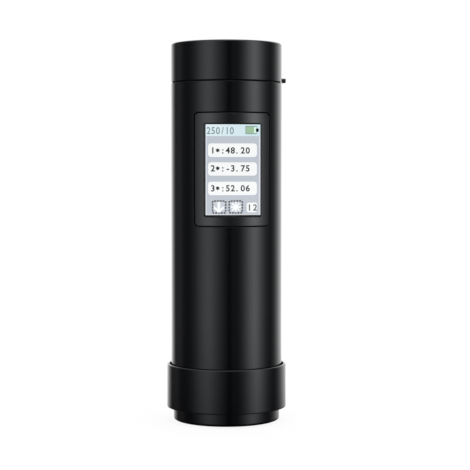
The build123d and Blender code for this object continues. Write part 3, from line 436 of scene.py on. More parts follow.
# %% The black finishes of the outside
# The cool specular tint is painted light: it gives the gloss the cool tint of the studio's light.
painted_cool_light = (0.96, 1.0, 1.05, 1)
polish = {"vary": 0.02, "patch": 14, "grain": 1.4, "depth": 0.0006, "specular_tint": painted_cool_light}
moulded("shell_black", (0.0007, 0.0009, 0.0018), 0.14, **polish)
moulded("cap_black", (0.0008, 0.0010, 0.0019), 0.15, **polish, specular_ior_level=0.50)
moulded("panel_black", (0.0060, 0.0062, 0.0072), 0.21, vary=0.03, patch=10, grain=0.6, depth=0.0012,
        specular_tint=painted_cool_light, specular_ior_level=0.70)
moulded("key_black", (0.010, 0.010, 0.011), 0.34, grain=0.4, depth=0.002)
moulded("deck_black", (0.017, 0.017, 0.018), 0.46, grain=0.35, depth=0.010)


def dress(piece, slot, body, *stands_for, finish=None):
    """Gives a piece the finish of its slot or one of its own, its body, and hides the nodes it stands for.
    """
    piece.data.materials.clear()
    piece.data.materials.append(finishes[finish or slot])
    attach(piece, body)
    if stands_for:
        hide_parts(*stands_for)
    triangles = sum(len(face.vertices) - 2 for face in piece.data.polygons)
    print(f"{piece.name}: {triangles} triangles, on {body}")
    return piece


# %% [markdown]
# ## The main tube
#
# The tube is the housing: one black extrusion with a 2 mm wall, 141.5 mm long. Its window is cut in two
# steps. The outer step is as deep as the curved plate of the panel, and the inner opening lets the back
# of the panel and the display through. The edge of the outer step is rounded by only 0.14 mm, so the gap
# round the panel stays a crisp dark line.

# %% The tube with its stepped window
panel_low, panel_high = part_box("screen_bezel")
panel_width = panel_high.x - panel_low.x
panel_height = panel_high.z - panel_low.z
panel_z = (panel_low.z + panel_high.z) / 2
panel_corner = 1.5 * MM
panel_gap = 0.5 * MM
rebate_radius = tube_radius - 1.2 * MM
window_lip = 2.3 * MM
window_round = 0.14 * MM
neck_seat_radius = 23.9 * MM
neck_ledge = 147.3 * MM
edge_round = 0.16 * MM
window_columns = [0.8 * MM * step for step in range(-18, 19)]
window_width = panel_width + 2 * panel_gap
window_height = panel_height + 2 * panel_gap
opening_width = window_width - 2 * window_lip
opening_height = window_height - 2 * window_lip
opening_corner = 1.0 * MM
window = window_outline(window_width, window_height, panel_corner + panel_gap, panel_z, window_columns)
opening = window_outline(opening_width, opening_height, opening_corner, panel_z, window_columns)


def quarter(rounding, steps=5):
    """Pairs of numbers that go round a quarter turn of a rounding, from the face to the wall."""
    turns = [pi / 2 * step / steps for step in range(steps + 1)]
    return [(rounding * (1 - sin(turn)), rounding * (1 - cos(turn))) for turn in turns]


def make_tube():
    bm = bmesh.new()
    rim = [add_loop(bm, window, out, tube_radius - drop) for out, drop in quarter(window_round)]
    rim.append(add_loop(bm, window, 0, rebate_radius))
    step = add_loop(bm, opening, 0, rebate_radius)
    inside = add_loop(bm, opening, 0, bore_radius)
    join_loops(bm, *rim)
    close_between(bm, once_round(rim[-1]), once_round(step))
    join_loops(bm, step, inside)
    outer_angles = edge_columns([vertex.co.x for vertex in rim[0][0]], tube_radius)
    bore_angles = edge_columns([vertex.co.x for vertex in inside[0]], bore_radius)
    ends = quarter(edge_round)
    low_rings = [ring_at(bm, outer_angles, tube_radius - out, tube_bottom + drop) for drop, out in ends]
    high_rings = [ring_at(bm, outer_angles, tube_radius - out, tube_top - drop) for drop, out in ends]
    for rings in (low_rings, high_rings):
        for first, second in zip(rings, rings[1:]):
            join_rings(bm, first, second)
    wall_round_window(bm, low_rings[0], high_rings[0], rim[0])
    bore_low = ring_at(bm, bore_angles, bore_radius, tube_bottom)
    bore_high = ring_at(bm, bore_angles, bore_radius, neck_ledge)
    seat_low = ring_at(bm, bore_angles, neck_seat_radius, neck_ledge)
    seat_high = ring_at(bm, bore_angles, neck_seat_radius, tube_top)
    wall_round_window(bm, bore_low, bore_high, inside)
    join_rings(bm, bore_high, seat_low)
    join_rings(bm, seat_low, seat_high)
    close_between(bm, high_rings[-1], seat_high)
    close_between(bm, low_rings[-1], bore_low)
    tube = new_piece("main_tube_shell", bm)
    true_round(tube)
    return tube


dress(make_tube(), "shell_black", "instrument", "main_tube")

# %% [markdown]
# ## The screen panel
#
# The panel is one moulding: a curved plate that lies flush in the tube, and a box behind it that holds
# the flat display. Its finish is a little less glossy than the tube's, so its reflections are softer. The
# hole for the glass is straight-sided, so it cuts the curved face in a bow at the top and the bottom.

# %% The curved panel with its straight-sided hole
glass_low, glass_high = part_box("touch_glass")
glass_width = glass_high.x - glass_low.x
glass_height = glass_high.z - glass_low.z
glass_z = (glass_low.z + glass_high.z) / 2
panel_back_radius = rebate_radius + 0.2 * MM
box_back = panel_high.y
box_play = 0.2 * MM
glass_play = 0.05 * MM
hole_round = 0.1 * MM
# The dark bead that fills this width is painted shade round the glass.
shade_bead_width = 0.45 * MM
hole_columns = [0.7 * MM * step for step in range(-16, 17)]
hole = window_outline(glass_width + 2 * glass_play, glass_height + 2 * glass_play, 0.35 * MM, glass_z,
                      hole_columns, arc_steps=3)
back_box = window_outline(opening_width - 2 * box_play, opening_height - 2 * box_play, opening_corner,
                          panel_z, hole_columns)


def face_round_hole(bm, outer, inner):
    """Strips of a curved face between an outer loop and a smaller loop inside it."""
    lower, upper = outer
    hole_lower, hole_upper = inner
    start = min(range(len(lower)), key=lambda index: abs(lower[index].co.x - hole_lower[0].co.x))
    end = start + len(hole_lower) - 1
    for index in range(len(lower) - 1):
        after = index + 1
        if start <= index < end:
            inside = index - start
            bm.faces.new((lower[index], lower[after], hole_lower[inside + 1], hole_lower[inside]))
            bm.faces.new((hole_upper[inside], hole_upper[inside + 1], upper[after], upper[index]))
            continue
        corners = [lower[index], lower[after]]
        if after == start:
            corners += [hole_lower[0], hole_upper[0]]
        corners += [upper[after], upper[index]]
        if index == end:
            corners += [hole_upper[-1], hole_lower[-1]]
        bm.faces.new(corners)


def make_panel():
    bm = bmesh.new()
    edge = quarter(hole_round, 3)
    hole_loops = [add_loop(bm, hole, shade_bead_width + out, tube_radius - drop) for out, drop in edge]
    hole_loops.append(add_loop(bm, hole, shade_bead_width, flat_y=box_back))
    hole_places = [vertex.co.x for vertex in hole_loops[0][0]]
    side = hole_places[-1]
    between = [side + (panel_width / 2 - panel_corner - side) * step / 4 for step in range(1, 4)]
    all_columns = [-x for x in between] + hole_places + between
    outer = window_outline(panel_width, panel_height, panel_corner, panel_z, all_columns)
    rim = [add_loop(bm, outer, -out, tube_radius - drop) for out, drop in quarter(window_round)]
    rim.append(add_loop(bm, outer, 0, panel_back_radius))
    join_loops(bm, *hole_loops)
    join_loops(bm, *rim)
    face_round_hole(bm, rim[0], hole_loops[0])
    box_front = add_loop(bm, back_box, 0, panel_back_radius)
    box_rear = add_loop(bm, back_box, 0, flat_y=box_back)
    join_loops(bm, box_front, box_rear)
    close_between(bm, once_round(rim[-1]), once_round(box_front))
    close_between(bm, once_round(box_rear), once_round(hole_loops[-1]))
    panel = new_piece("screen_panel", bm)
    true_round(panel)
    return panel


dress(make_panel(), "panel_black", "instrument", "screen_bezel")

# %% [markdown]
# ## The gasket under the panel's edge
#
# The plate of the panel lies on a thin rubber gasket that also fills the floor of the gap round it. It is
# quite matt, so nothing shines in the gap. It follows the tube as the plate does, and comes from the same
# loops.

# %% The gasket in the step of the window


def make_gasket():
    bm = bmesh.new()
    play = 0.02 * MM
    levels = (rebate_radius + play, panel_back_radius - play)
    outside = [add_loop(bm, window, -play, radius) for radius in levels]
    inside = [add_loop(bm, opening, play, radius) for radius in levels]
    join_loops(bm, *outside)
    join_loops(bm, *inside)
    for out, back in zip(outside, inside):
        close_between(bm, once_round(out), once_round(back))
    return new_piece("panel_gasket", bm)


moulded("sealing_rubber", (0.006, 0.006, 0.006), 0.85, grain=0.3, depth=0.006, specular_ior_level=0.2)
dress(make_gasket(), "sealing_rubber", "instrument", "bezel_gasket")

# %% [markdown]
# ## The dark bead round the glass
#
# A thin bead of matt black fills the gap between the glass and the panel. It is painted shade: it draws
# the dark line of shadow round the lit screen. Its face lies a little below the panel's, and it is one
# closed band of quads, made from the hole's own loops.

# %% The bead between glass and panel


# The bead is matt black painted shade: it draws the shadow line round the lit screen.
def make_shade_bead():
    bm = bmesh.new()
    play = 0.01 * MM
    face_radius = tube_radius - 0.12 * MM
    loops = [
        add_loop(bm, hole, shade_bead_width - play, face_radius),
        add_loop(bm, hole, 0, face_radius),
        add_loop(bm, hole, 0, flat_y=glass_high.y),
        add_loop(bm, hole, shade_bead_width - play, flat_y=glass_high.y),
    ]
    join_loops(bm, *loops, loops[0])
    seal = new_piece("glass_seal", bm)
    true_round(seal)
    return seal


dress(make_shade_bead(), "sealing_rubber", "instrument")

# %% [markdown]
# ## The pull-off lid
#
# The lid is a turned cup with the same diameter as the tube. It pushes down over the neck, and a dark
# line of 0.6 mm is left between the two. A notch in its rim lets the power key stick out, and sets which
# way round it goes on. A Boolean cuts the notch, because it is small and plain.

# %% The lid with its notch
lid_inner = 23.35 * MM
lid_inside = lid_top - 1.9 * MM
key_low, key_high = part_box("power_key")
key_z = (key_low.z + key_high.z) / 2
key_tip_x = key_high.x
notch_half = 1.4 * MM
notch_from, notch_to = 20.0 * MM, 27.0 * MM


def prism(bm, first, second):
    """A closed prism between two outlines that have the same number of points."""
    ends = [[bm.verts.new(point) for point in points] for points in (first, second)]
    bm.faces.new(ends[0])
    bm.faces.new(ends[1][::-1])
    join_rings(bm, *ends)


def cut_away(piece, tool):
    """Cuts one mesh from another with the exact solver, and removes the tool."""
    modifier = piece.modifiers.new("cut", "BOOLEAN")
    modifier.operation = "DIFFERENCE"
    modifier.solver = "EXACT"
    modifier.object = tool
    depsgraph = bpy.context.evaluated_depsgraph_get()
    cut = bpy.data.meshes.new_from_object(piece.evaluated_get(depsgraph))
    cut.name = piece.name
    bm = bmesh.new()
    bm.from_mesh(cut)
    crease(bm)
    bm.to_mesh(cut)
    bm.free()
    piece.modifiers.clear()
    piece.data = cut
    bpy.data.objects.remove(tool)
    return piece


def notch_tool():
    """A U-shaped prism along X, open downward."""
    bm = bmesh.new()
    turns = [pi * step / 24 for step in range(25)]
    section = [(notch_half * cos(turn), key_z + notch_half * sin(turn)) for turn in turns]
    section += [(-notch_half, lid_bottom - MM), (notch_half, lid_bottom - MM)]
    prism(bm, *[[(x, y, z) for y, z in section] for x in (notch_from, notch_to)])
    return new_piece("notch_tool", bm)


lid_outline = [
    (0, lid_top, 0),
    (lid_radius, lid_top, 0.9 * MM),
    (lid_radius, lid_bottom, edge_round),
    (lid_inner, lid_bottom, 0.1 * MM),
    (lid_inner, lid_inside, 1.0 * MM),
    (0, lid_inside, 0),
]
lid = cut_away(lathe("lid_shell", lid_outline, segments=256), notch_tool())
true_round(lid)
true_flat(lid)
dress(lid, "shell_black", "lid", "top_lid")

# %% [markdown]
# ## The cup at the measuring end
#
# Collar and foot are one moulding, the calibration cup. It slides over the end of the tube and grips it
# with a felt ring. The collar stands 1.9 mm proud of the tube, and its rim is a thin bright lip. The foot
# is narrower than the collar, with a rounding where it meets the table.

# %% The cup, its felt ring, its foot pad
cup_radius = 25.45 * MM
rim_relief_radius = 25.85 * MM
rim_relief = 22.0 * MM
foot_radius = 23.9 * MM
foot_step = 6.15 * MM
foot_lift = 0.3 * MM
pad_outer, pad_bottom, pad_top = turned_box("foot_pad")
grip_outer, grip_bottom, grip_top = turned_box("grip_ring")
cup_floor = 6.9 * MM
tile_pocket_radius = 17.6 * MM
tile_pocket = 3.6 * MM
cup_outline = [
    (0, pad_top, 0),
    (pad_outer, pad_top, 0),
    (pad_outer, foot_lift, 0.1 * MM),
    (foot_radius, foot_lift, 1.2 * MM),
    (foot_radius, foot_step, 0.25 * MM),
    (collar_radius, foot_step, 0.5 * MM),
    (collar_radius, collar_top, 0.6 * MM),
    (rim_relief_radius, collar_top, 0.3 * MM),
    (rim_relief_radius, rim_relief, 0),
    (cup_radius, rim_relief, 0.2 * MM),
    (cup_radius, grip_top, 0),
    (grip_outer, grip_top, 0),
    (grip_outer, grip_bottom, 0),
    (cup_radius, grip_bottom, 0),
    (cup_radius, cup_floor, 0.4 * MM),
    (tile_pocket_radius, cup_floor, 0.2 * MM),
    (tile_pocket_radius, tile_pocket, 0.2 * MM),
    (0, tile_pocket, 0),
]
cup = lathe("cap_cup", cup_outline, segments=256)
true_round(cup)
dress(cup, "cap_black", "calibration_cap", "cap_shell")

# %% [markdown]
# ## Rubber, felt, foam and ceramic
#
# The cup hides a small white standard: a glazed ceramic tile on a foam cushion, held by a screwed ring.
# Felt in the cup's wall grips the tube, and a ring of soft rubber under the foot keeps it from slipping.
# Felt is a mat of fibres, so its noise is drawn out and turned two ways. Foam has cells, which are a
# Voronoi pattern. The glaze is smooth, with a little waviness and a clear coat.

# %% Soft and ceramic finishes


def felt(name, colour):
    """A mat of fibres that lie two ways."""
    material, shader = new_finish(name, colour, 0.95, sheen_weight=0.35, sheen_roughness=0.5)
    one_way = object_place(material, (1, 6, 6), (0.3, 0.5, 0.7))
    other_way = object_place(material, (6, 1, 6), (0.9, 0.2, 0.4))
    layers = enumerate(noise(material, way, 0.9, detail=5, rough=0.7) for way in (one_way, other_way))
    fibres = node(material, "ShaderNodeMath", layers, operation="MAXIMUM").outputs[0]
    two_tone(material, shader, fibres, shades(colour, 0.6), colour, 0.4, 0.65)
    bumped(material, shader, fibres, 0.08)


def foam(name, colour, cell_mm):
    """Open cells, with painted shade: darker where a cell is deep."""
    material, shader = new_finish(name, colour, 0.9)
    pattern = {"Vector": object_place(material), "Scale": 1000 / cell_mm}
    depth = node(material, "ShaderNodeTexVoronoi", pattern).outputs["Distance"]
    # Painted shade: the colour darkens with the Voronoi distance, for the shade in the cells.
    two_tone(material, shader, depth, colour, shades(colour, 0.45), 0.2, 0.8)
    bumped(material, shader, depth, 0.1)


def glazed(name, colour):
    """White glaze: nearly even, with a coat that is a little wavy."""
    material, shader = new_finish(name, colour, 0.38, coat_weight=0.7, coat_roughness=0.12)
    broad = noise(material, object_place(material), 5.0)
    two_tone(material, shader, broad, colour, shades(colour, 0.965))
    bumped(material, shader, broad, 0.004)


felt("grip_felt", (0.030, 0.030, 0.034))
foam("cushion_foam", (0.055, 0.055, 0.062), 0.5)
glazed("tile_white", (0.86, 0.86, 0.84))
moulded("white_sphere", (0.86, 0.86, 0.83), 0.9, grain=0.3, depth=0.02, tone=1.04)

# %% [markdown]
# ## Inside the cup
#
# Each of these is turned too. The screwed ring overlaps the tile's edge by 2.1 mm, so the tile can't fall
# out but can be changed when it is scratched.

# %% The felt, the foot pad, the tile and what holds it
grip_ring_inner = 25.06 * MM
grip_lead_in = 0.5 * MM
grip_outline = [
    (grip_ring_inner, grip_bottom + grip_lead_in, 0.2 * MM),
    (grip_ring_inner + grip_lead_in, grip_bottom, 0.2 * MM),
    (grip_outer, grip_bottom, 0),
    (grip_outer, grip_top, 0),
    (grip_ring_inner + grip_lead_in, grip_top, 0.2 * MM),
    (grip_ring_inner, grip_top - grip_lead_in, 0.2 * MM),
]
dress(lathe("felt_grip", grip_outline), "grip_felt", "calibration_cap", "grip_ring")

pad_bore = 8.0 * MM
pad_outline = [
    (pad_bore, pad_bottom, 0.4 * MM),
    (pad_outer, pad_bottom, 0.7 * MM),
    (pad_outer, pad_top, 0),
    (pad_bore, pad_top, 0),
]
dress(lathe("rubber_foot", pad_outline), "sealing_rubber", "calibration_cap", "foot_pad")

tile_radius, tile_bottom, tile_top = turned_box("white_tile")
tile = disc("standard_tile", tile_radius, tile_bottom, tile_top, 0.4 * MM, 0.5 * MM)
dress(tile, "tile_white", "calibration_cap", "white_tile")

cushion = disc("foam_cushion", *turned_box("tile_cushion"), 0.2 * MM, 0.2 * MM)
dress(cushion, "cushion_foam", "calibration_cap", "tile_cushion")

# %% [markdown]
# ## Screws
#
# The visible screws are countersunk, with a socket for a hexagon key. One screw is turned and cut once,
# and Geometry Nodes set copies of it round a circle. Each copy is spun by its own amount, because real
# screws never stop at the same angle. The seed of that spin is fixed, so every run gives the same screws.

# %% One countersunk screw
metal("steel_screw", (0.56, 0.56, 0.57), 0.30, stretch=(1, 1, 30), grain=0.6)
m2_head, m2_shank, m2_length = 1.8 * MM, 0.9 * MM, 4.0 * MM
m25_head, m25_shank, m25_length = 2.3 * MM, 1.25 * MM, 6.0 * MM
long_length = 12.0 * MM


def countersunk_screw(name, head_radius, shank_radius, length):
    """A screw with its head's face at Z = 0, its shank down, and a six-sided socket."""
    cone = head_radius - shank_radius
    outline = [
        (0, 0, 0),
        (head_radius, 0, 0.08 * MM),
        (shank_radius, -cone, 0),
        (shank_radius, -length, 0.2 * MM),
        (0, -length, 0),
    ]
    screw = lathe(name, outline, segments=48)
    bm = bmesh.new()
    depth = 0.9 * cone
    key_radius = 0.62 * shank_radius / cos(pi / 6)
    corners = [(key_radius * cos(pi / 3 * side), key_radius * sin(pi / 3 * side)) for side in range(6)]
    top, low = [[bm.verts.new((x, y, level)) for x, y in corners] for level in (MM, -depth)]
    tip = bm.verts.new((0, 0, -depth * 1.25))
    bm.faces.new(top)
    join_rings(bm, top, low)
    for side in range(6):
        bm.faces.new((low[side], tip, low[(side + 1) % 6]))
    return cut_away(screw, new_piece("socket_tool", bm))


# %% [markdown]
# A tree of Geometry Nodes gets named inputs, such as Count and Orbit, from a list of values. The modifier's
# values are set by each input's identifier before the tree is run for the first time.

# %% Helpers for Geometry Nodes
SOCKET_KINDS = {int: "Int", float: "Float", bpy.types.Object: "Object", bpy.types.Material: "Material"}


def new_tree(name, inputs):
    """An empty tree with a geometry output and named inputs."""
    tree = bpy.data.node_groups.new(name, "GeometryNodeTree")
    for label, value in inputs.items():
        kind = next(kind for base, kind in SOCKET_KINDS.items() if isinstance(value, base))
        tree.interface.new_socket(label, in_out="INPUT", socket_type="NodeSocket" + kind)
    tree.interface.new_socket("Geometry", in_out="OUTPUT", socket_type="NodeSocketGeometry")
    return tree, tree.nodes.new("NodeGroupInput").outputs, tree.nodes.new("NodeGroupOutput")


def end_tree(tree, output, geometry, material):
    """The two last steps of every tree: real geometry, and its material."""
    real = node(tree, "GeometryNodeRealizeInstances", {"Geometry": geometry})
    painted = node(tree, "GeometryNodeSetMaterial", {"Geometry": real, "Material": material})
    tree.links.new(painted.outputs[0], output.inputs[0])


def grow(name, tree, inputs, place=Matrix.Identity(4)):
    """Runs a tree with the given inputs and keeps the result as a plain mesh at the given place."""
    seed_mesh = bpy.data.meshes.new(name + "_seed")
    maker = bpy.data.objects.new(name + "_seed", seed_mesh)
    bpy.context.scene.collection.objects.link(maker)
    modifier = maker.modifiers.new("grow", "NODES")
    modifier.node_group = tree
    for item in tree.interface.items_tree:
        if item.item_type == "SOCKET" and item.in_out == "INPUT":
            modifier[item.identifier] = inputs[item.name]
    depsgraph = bpy.context.evaluated_depsgraph_get()
    mesh = bpy.data.meshes.new_from_object(maker.evaluated_get(depsgraph))
    mesh.name = name
    mesh.transform(place)
    piece = bpy.data.objects.new(name, mesh)
    bpy.context.scene.collection.objects.link(piece)
    bpy.data.objects.remove(maker)
    print(f"{name}: {len(mesh.polygons)} faces grown")
    return piece


# %% [markdown]
# The tree for a ring of screws: a circle of points, one screw on each point, each with its own spin.

# %% Screws set round a circle
m2_screw = countersunk_screw("m2_screw", m2_head, m2_shank, m2_length)
m25_screw = countersunk_screw("m25_screw", m25_head, m25_shank, m25_length)
m25_long = countersunk_screw("m25_long", m25_head, m25_shank, long_length)
ring_values = {
    "Screw": m2_screw, "Count": 3, "Orbit": 0.02, "Level": 0.0, "Start": 0.0, "Tip": 0.0, "Seed": 1,
    "Finish": finishes["steel_screw"],
}
ring_tree, ring_in, ring_out = new_tree("screw_ring", ring_values)
ring_points = node(ring_tree, "GeometryNodeMeshCircle", {
    "Vertices": ring_in["Count"], "Radius": ring_in["Orbit"],
})
ring_screw = node(ring_tree, "GeometryNodeObjectInfo", {"Object": ring_in["Screw"], "As Instance": True})
spin_range = {2: 0.0, 3: 2 * pi, "Seed": ring_in["Seed"]}
ring_spin = node(ring_tree, "FunctionNodeRandomValue", spin_range, data_type="FLOAT").outputs[1]
ring_turns = node(ring_tree, "ShaderNodeCombineXYZ", {"X": ring_in["Tip"], "Z": ring_spin})
ring_copies = node(ring_tree, "GeometryNodeInstanceOnPoints", {
    "Points": ring_points, "Instance": ring_screw.outputs["Geometry"], "Rotation": ring_turns,
})
ring_placed = node(ring_tree, "GeometryNodeTransform", {
    "Geometry": ring_copies,
    "Translation": node(ring_tree, "ShaderNodeCombineXYZ", {"Z": ring_in["Level"]}),
    "Rotation": node(ring_tree, "ShaderNodeCombineXYZ", {"Z": ring_in["Start"]}),
})
end_tree(ring_tree, ring_out, ring_placed, ring_in["Finish"])

post_orbit = 17.8 * MM
tile_screw_orbit = 20.4 * MM
nose_screw_orbit = 17.6 * MM
tile_ring_outer, tile_ring_bottom, tile_ring_top = turned_box("tile_ring")
nose_face = tile_ring_top
# Each ring has its name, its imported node, its screw, orbit, level, first angle, tip and seed.
screw_rings = [
    ("deck_screw_ring", "deck_screws", m25_screw, post_orbit, deck_top, 60, 0.0, 3),
    ("tile_screw_ring", "tile_screws", m2_screw, tile_screw_orbit, tile_ring_top, 90, 0.0, 5),
    ("nose_screw_ring", "nose_screws", m25_long, nose_screw_orbit, nose_face, 30, pi, 8),
]
for name, cad_node, screw, orbit, level, start, tip, seed in screw_rings:
    own = {"Screw": screw, "Orbit": orbit, "Level": level, "Start": radians(start), "Tip": tip, "Seed": seed}
    screws = grow(name, ring_tree, {**ring_values, **own})
    dress(screws, "steel_screw", body_of_node[cad_node], cad_node)
for screw in (m2_screw, m25_screw, m25_long):
    bpy.data.objects.remove(screw)

# %% [markdown]
# ## The ring over the tile, and the nose plate
#
# Both are turned, and both have countersunk holes. A cone-shaped tool per screw cuts them, which leaves a
# fine dark line round each head. The nose plate is the measuring end: black anodised aluminium with a
# raised face round the aperture, which is what is pressed on a sample.

# %% Turned plates with screw holes
metal("nose_metal", (0.035, 0.035, 0.038), 0.34, stretch=(1, 1, 25), grain=0.5, depth=0.002)
metal("pressed_steel", (0.60, 0.60, 0.62), 0.33, stretch=(12, 1, 1), grain=0.9)


def hole_tools(orbit, start, level, head_radius, shank_radius, length, tip=1):
    """Cone-shaped tools for countersunk holes, a little wider than the screws."""
    tools = []
    play = 0.05 * MM
    head = head_radius + play
    shank = shank_radius + play
    outline = [(0, MM, 0), (head, MM, 0), (head, 0, 0), (shank, shank - head, 0), (shank, -length, 0),
               (0, -length, 0)]
    for index in range(3):
        tool = lathe("hole_tool", outline, segments=48)
        turn = radians(start + 120 * index)
        flip = Matrix.Rotation(0 if tip > 0 else pi, 4, "X")
        tool.data.transform(Matrix.Translation((orbit * cos(turn), orbit * sin(turn), level)) @ flip)
        tools.append(tool)
    return tools


tile_ring_inner = 15.2 * MM
tile_room_radius = tile_radius + 0.3 * MM
ring_outline = [
    (tile_ring_inner, tile_top, 0),
    (tile_room_radius, tile_top, 0),
    (tile_room_radius, tile_ring_bottom, 0),
    (tile_ring_outer, tile_ring_bottom, 0),
    (tile_ring_outer, tile_ring_top, 0.2 * MM),
    (tile_ring_inner, tile_ring_top, 0.3 * MM),
]
tile_holder = lathe("tile_holder", ring_outline)
for tool in hole_tools(tile_screw_orbit, 90, tile_ring_top, m2_head, m2_shank, m2_length):
    cut_away(tile_holder, tool)
true_flat(tile_holder)
dress(tile_holder, "pressed_steel", "calibration_cap", "tile_ring")

nose_outer, nose_low, nose_high = turned_box("nose_plate")
nose_boss_radius = 13.0 * MM
aperture_radius = 4.0 * MM
insert_radius = 22.95 * MM
glass_seat_radius = 6.0 * MM
glass_seat = 8.9 * MM
groove_radius = 21.5 * MM
groove_low = 11.5 * MM
groove_high = 13.2 * MM
nose_outline = [
    (aperture_radius, nose_low, 0.3 * MM),
    (nose_boss_radius, nose_low, 0.3 * MM),
    (nose_boss_radius, nose_face, 0.15 * MM),
    (nose_outer, nose_face, 0.5 * MM),
    (nose_outer, tube_bottom, 0.1 * MM),
    (insert_radius, tube_bottom, 0),
    (insert_radius, groove_low, 0),
    (groove_radius, groove_low, 0),
    (groove_radius, groove_high, 0),
    (insert_radius, groove_high, 0),
    (insert_radius, nose_high, 0.2 * MM),
    (glass_seat_radius, nose_high, 0),
    (glass_seat_radius, glass_seat, 0),
    (aperture_radius, glass_seat, 0),
]
nose = lathe("nose_end", nose_outline)
for tool in hole_tools(nose_screw_orbit, 30, nose_face, m25_head, m25_shank, long_length, tip=-1):
    cut_away(nose, tool)
true_flat(nose)
dress(nose, "nose_metal", "instrument", "nose_plate")

# %% [markdown]
# ## Two sealing rings
#
# One ring seals the nose plate in the tube, and one lies in the neck's groove, where the lid slides over
# it. Both are plain rubber rings of round section, so their outline is a circle.

# %% Rubber rings of round section
seal_wire = 0.72 * MM
for name, cad_node in (("neck_ring", "lid_seal"), ("nose_ring", "nose_seal")):
    outer, low, high = turned_box(cad_node)
    middle = (low + high) / 2
    turns = [2 * pi * step / 20 for step in range(20)]
    section = [(outer - seal_wire + seal_wire * cos(t), middle + seal_wire * sin(t), 0) for t in turns]
    dress(lathe(name, section), "sealing_rubber", "instrument", cad_node)

# %% [markdown]
# ## Under the lid
#
# The lid comes off a neck with a flat deck. On the deck are the charging socket, a small light and three
# screws. The neck's wall has a hole for the power key, and its outline has the groove of the ring.

# %% The neck and the deck
neck_inner = 20.8 * MM
neck_shoulder = 23.85 * MM
seal_low = 156.1 * MM
seal_high = 157.9 * MM
seal_floor = 21.8 * MM
neck_tip_radius = 22.9 * MM
neck_outline = [
    (neck_inner, neck_bottom, 0),
    (insert_radius, neck_bottom, 0.2 * MM),
    (insert_radius, neck_ledge, 0),
    (neck_shoulder, neck_ledge, 0),
    (neck_shoulder, tube_top, 0.1 * MM),
    (neck_tip_radius, tube_top, 0),
    (neck_tip_radius, seal_low, 0.15 * MM),
    (seal_floor, seal_low, 0),
    (seal_floor, seal_high, 0),
    (neck_tip_radius, seal_high, 0.15 * MM),
    (neck_tip_radius, neck_top, 0.5 * MM),
    (neck_inner, neck_top, 0.15 * MM),
]
key_hole_radius = 1.15 * MM
key_hole_from, key_hole_to = 19.0 * MM, 25.0 * MM


def along_x(piece, level):
    """Turns a piece that was made along Z so that it lies along +X at a level."""
    piece.data.transform(Matrix.Translation((0, 0, level)) @ Matrix.Rotation(pi / 2, 4, "Y"))
    return piece


key_hole = along_x(disc("hole_tool", key_hole_radius, key_hole_from, key_hole_to, segments=48), key_z)
neck = cut_away(lathe("neck_spigot", neck_outline, segments=256), key_hole)
true_round(neck)
true_flat(neck)
dress(neck, "deck_black", "instrument", "neck")

deck_side = deck_radius - 0.05 * MM
deck = disc("charging_deck", deck_side, deck_bottom, deck_top, high_rounding=0.2 * MM)
through_deck = (deck_bottom - MM, deck_top + MM)
socket_low, socket_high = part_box("usb_socket")
light_low, light_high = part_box("light_pipe")
light_radius = (light_high.x - light_low.x) / 2
light_y = (light_high.y + light_low.y) / 2
socket_y = (socket_high.y + socket_low.y) / 2
socket_width = socket_high.x - socket_low.x
socket_depth = socket_high.y - socket_low.y


def slot_prism(name, width, depth, low, high, middle_y, round_steps=12):
    """A prism of a slot's shape, with round ends, from one level to another."""
    bm = bmesh.new()
    radius = depth / 2
    reach = width / 2 - radius
    right = [(reach + radius * cos(t), radius * sin(t)) for t in
             [-pi / 2 + pi * step / round_steps for step in range(round_steps + 1)]]
    section = right + [(-x, -y) for x, y in right]
    prism(bm, *[[(x, middle_y + y, z) for x, y in section] for z in (low, high)])
    return new_piece(name, bm)


for tool in hole_tools(post_orbit, 60, deck_top, m25_head, m25_shank, m25_length):
    cut_away(deck, tool)
cut_away(deck, slot_prism("slot_tool", socket_width, socket_depth, *through_deck, socket_y))
light_tool = disc("light_tool", light_radius, *through_deck, segments=48)
light_tool.data.transform(Matrix.Translation((0, light_y, 0)))
cut_away(deck, light_tool)
true_flat(deck)
dress(deck, "deck_black", "instrument", "top_deck")

# %% [markdown]
# ## The charging socket
#
# The socket is a drawn steel shell with a black tongue in its middle, and twelve gilded contacts lie on
# each face of the tongue. The contacts are a row, so a Mesh Line and one small block make them.

# %% Shell, tongue and contacts
metal("socket_steel", (0.62, 0.62, 0.63), 0.26, stretch=(1, 1, 8), grain=0.8)
moulded("chip_black", (0.014, 0.014, 0.015), 0.55, grain=0.18, depth=0.01)
metal("gilt_contact", (0.72, 0.50, 0.20), 0.28, stretch=(1, 1, 6), grain=0.5)
socket_wall = 0.3 * MM
socket_floor = socket_low.z + 2.0 * MM
shell = slot_prism("charging_socket", socket_width - 0.02 * MM, socket_depth - 0.02 * MM,
                   socket_low.z, socket_high.z, socket_y)
cavity = slot_prism("cavity_tool", socket_width - 2 * socket_wall, socket_depth - 2 * socket_wall,
                    socket_floor, socket_high.z + MM, socket_y)
cut_away(shell, cavity)
dress(shell, "socket_steel", "instrument", "usb_socket")

tongue_width = 6.7 * MM
tongue_thick = 0.7 * MM
tongue_top = socket_high.z - 1.0 * MM


def block(name, low, high, rounding=0.0):
    """A block between two corners, with its edges rounded where a rounding is given."""
    bm = bmesh.new()
    bmesh.ops.create_cube(bm, size=1)
    for vertex in bm.verts:
        vertex.co = [low[axis] if vertex.co[axis] < 0 else high[axis] for axis in range(3)]
    if rounding:
        bmesh.ops.bevel(bm, geom=bm.edges[:], offset=rounding, segments=3, profile=0.5, affect="EDGES")
    return new_piece(name, bm)


tongue = block(
    "socket_tongue",
    (-tongue_width / 2, socket_y - tongue_thick / 2, socket_floor),
    (tongue_width / 2, socket_y + tongue_thick / 2, tongue_top), 0.12 * MM,
)
dress(tongue, "chip_black", "instrument")

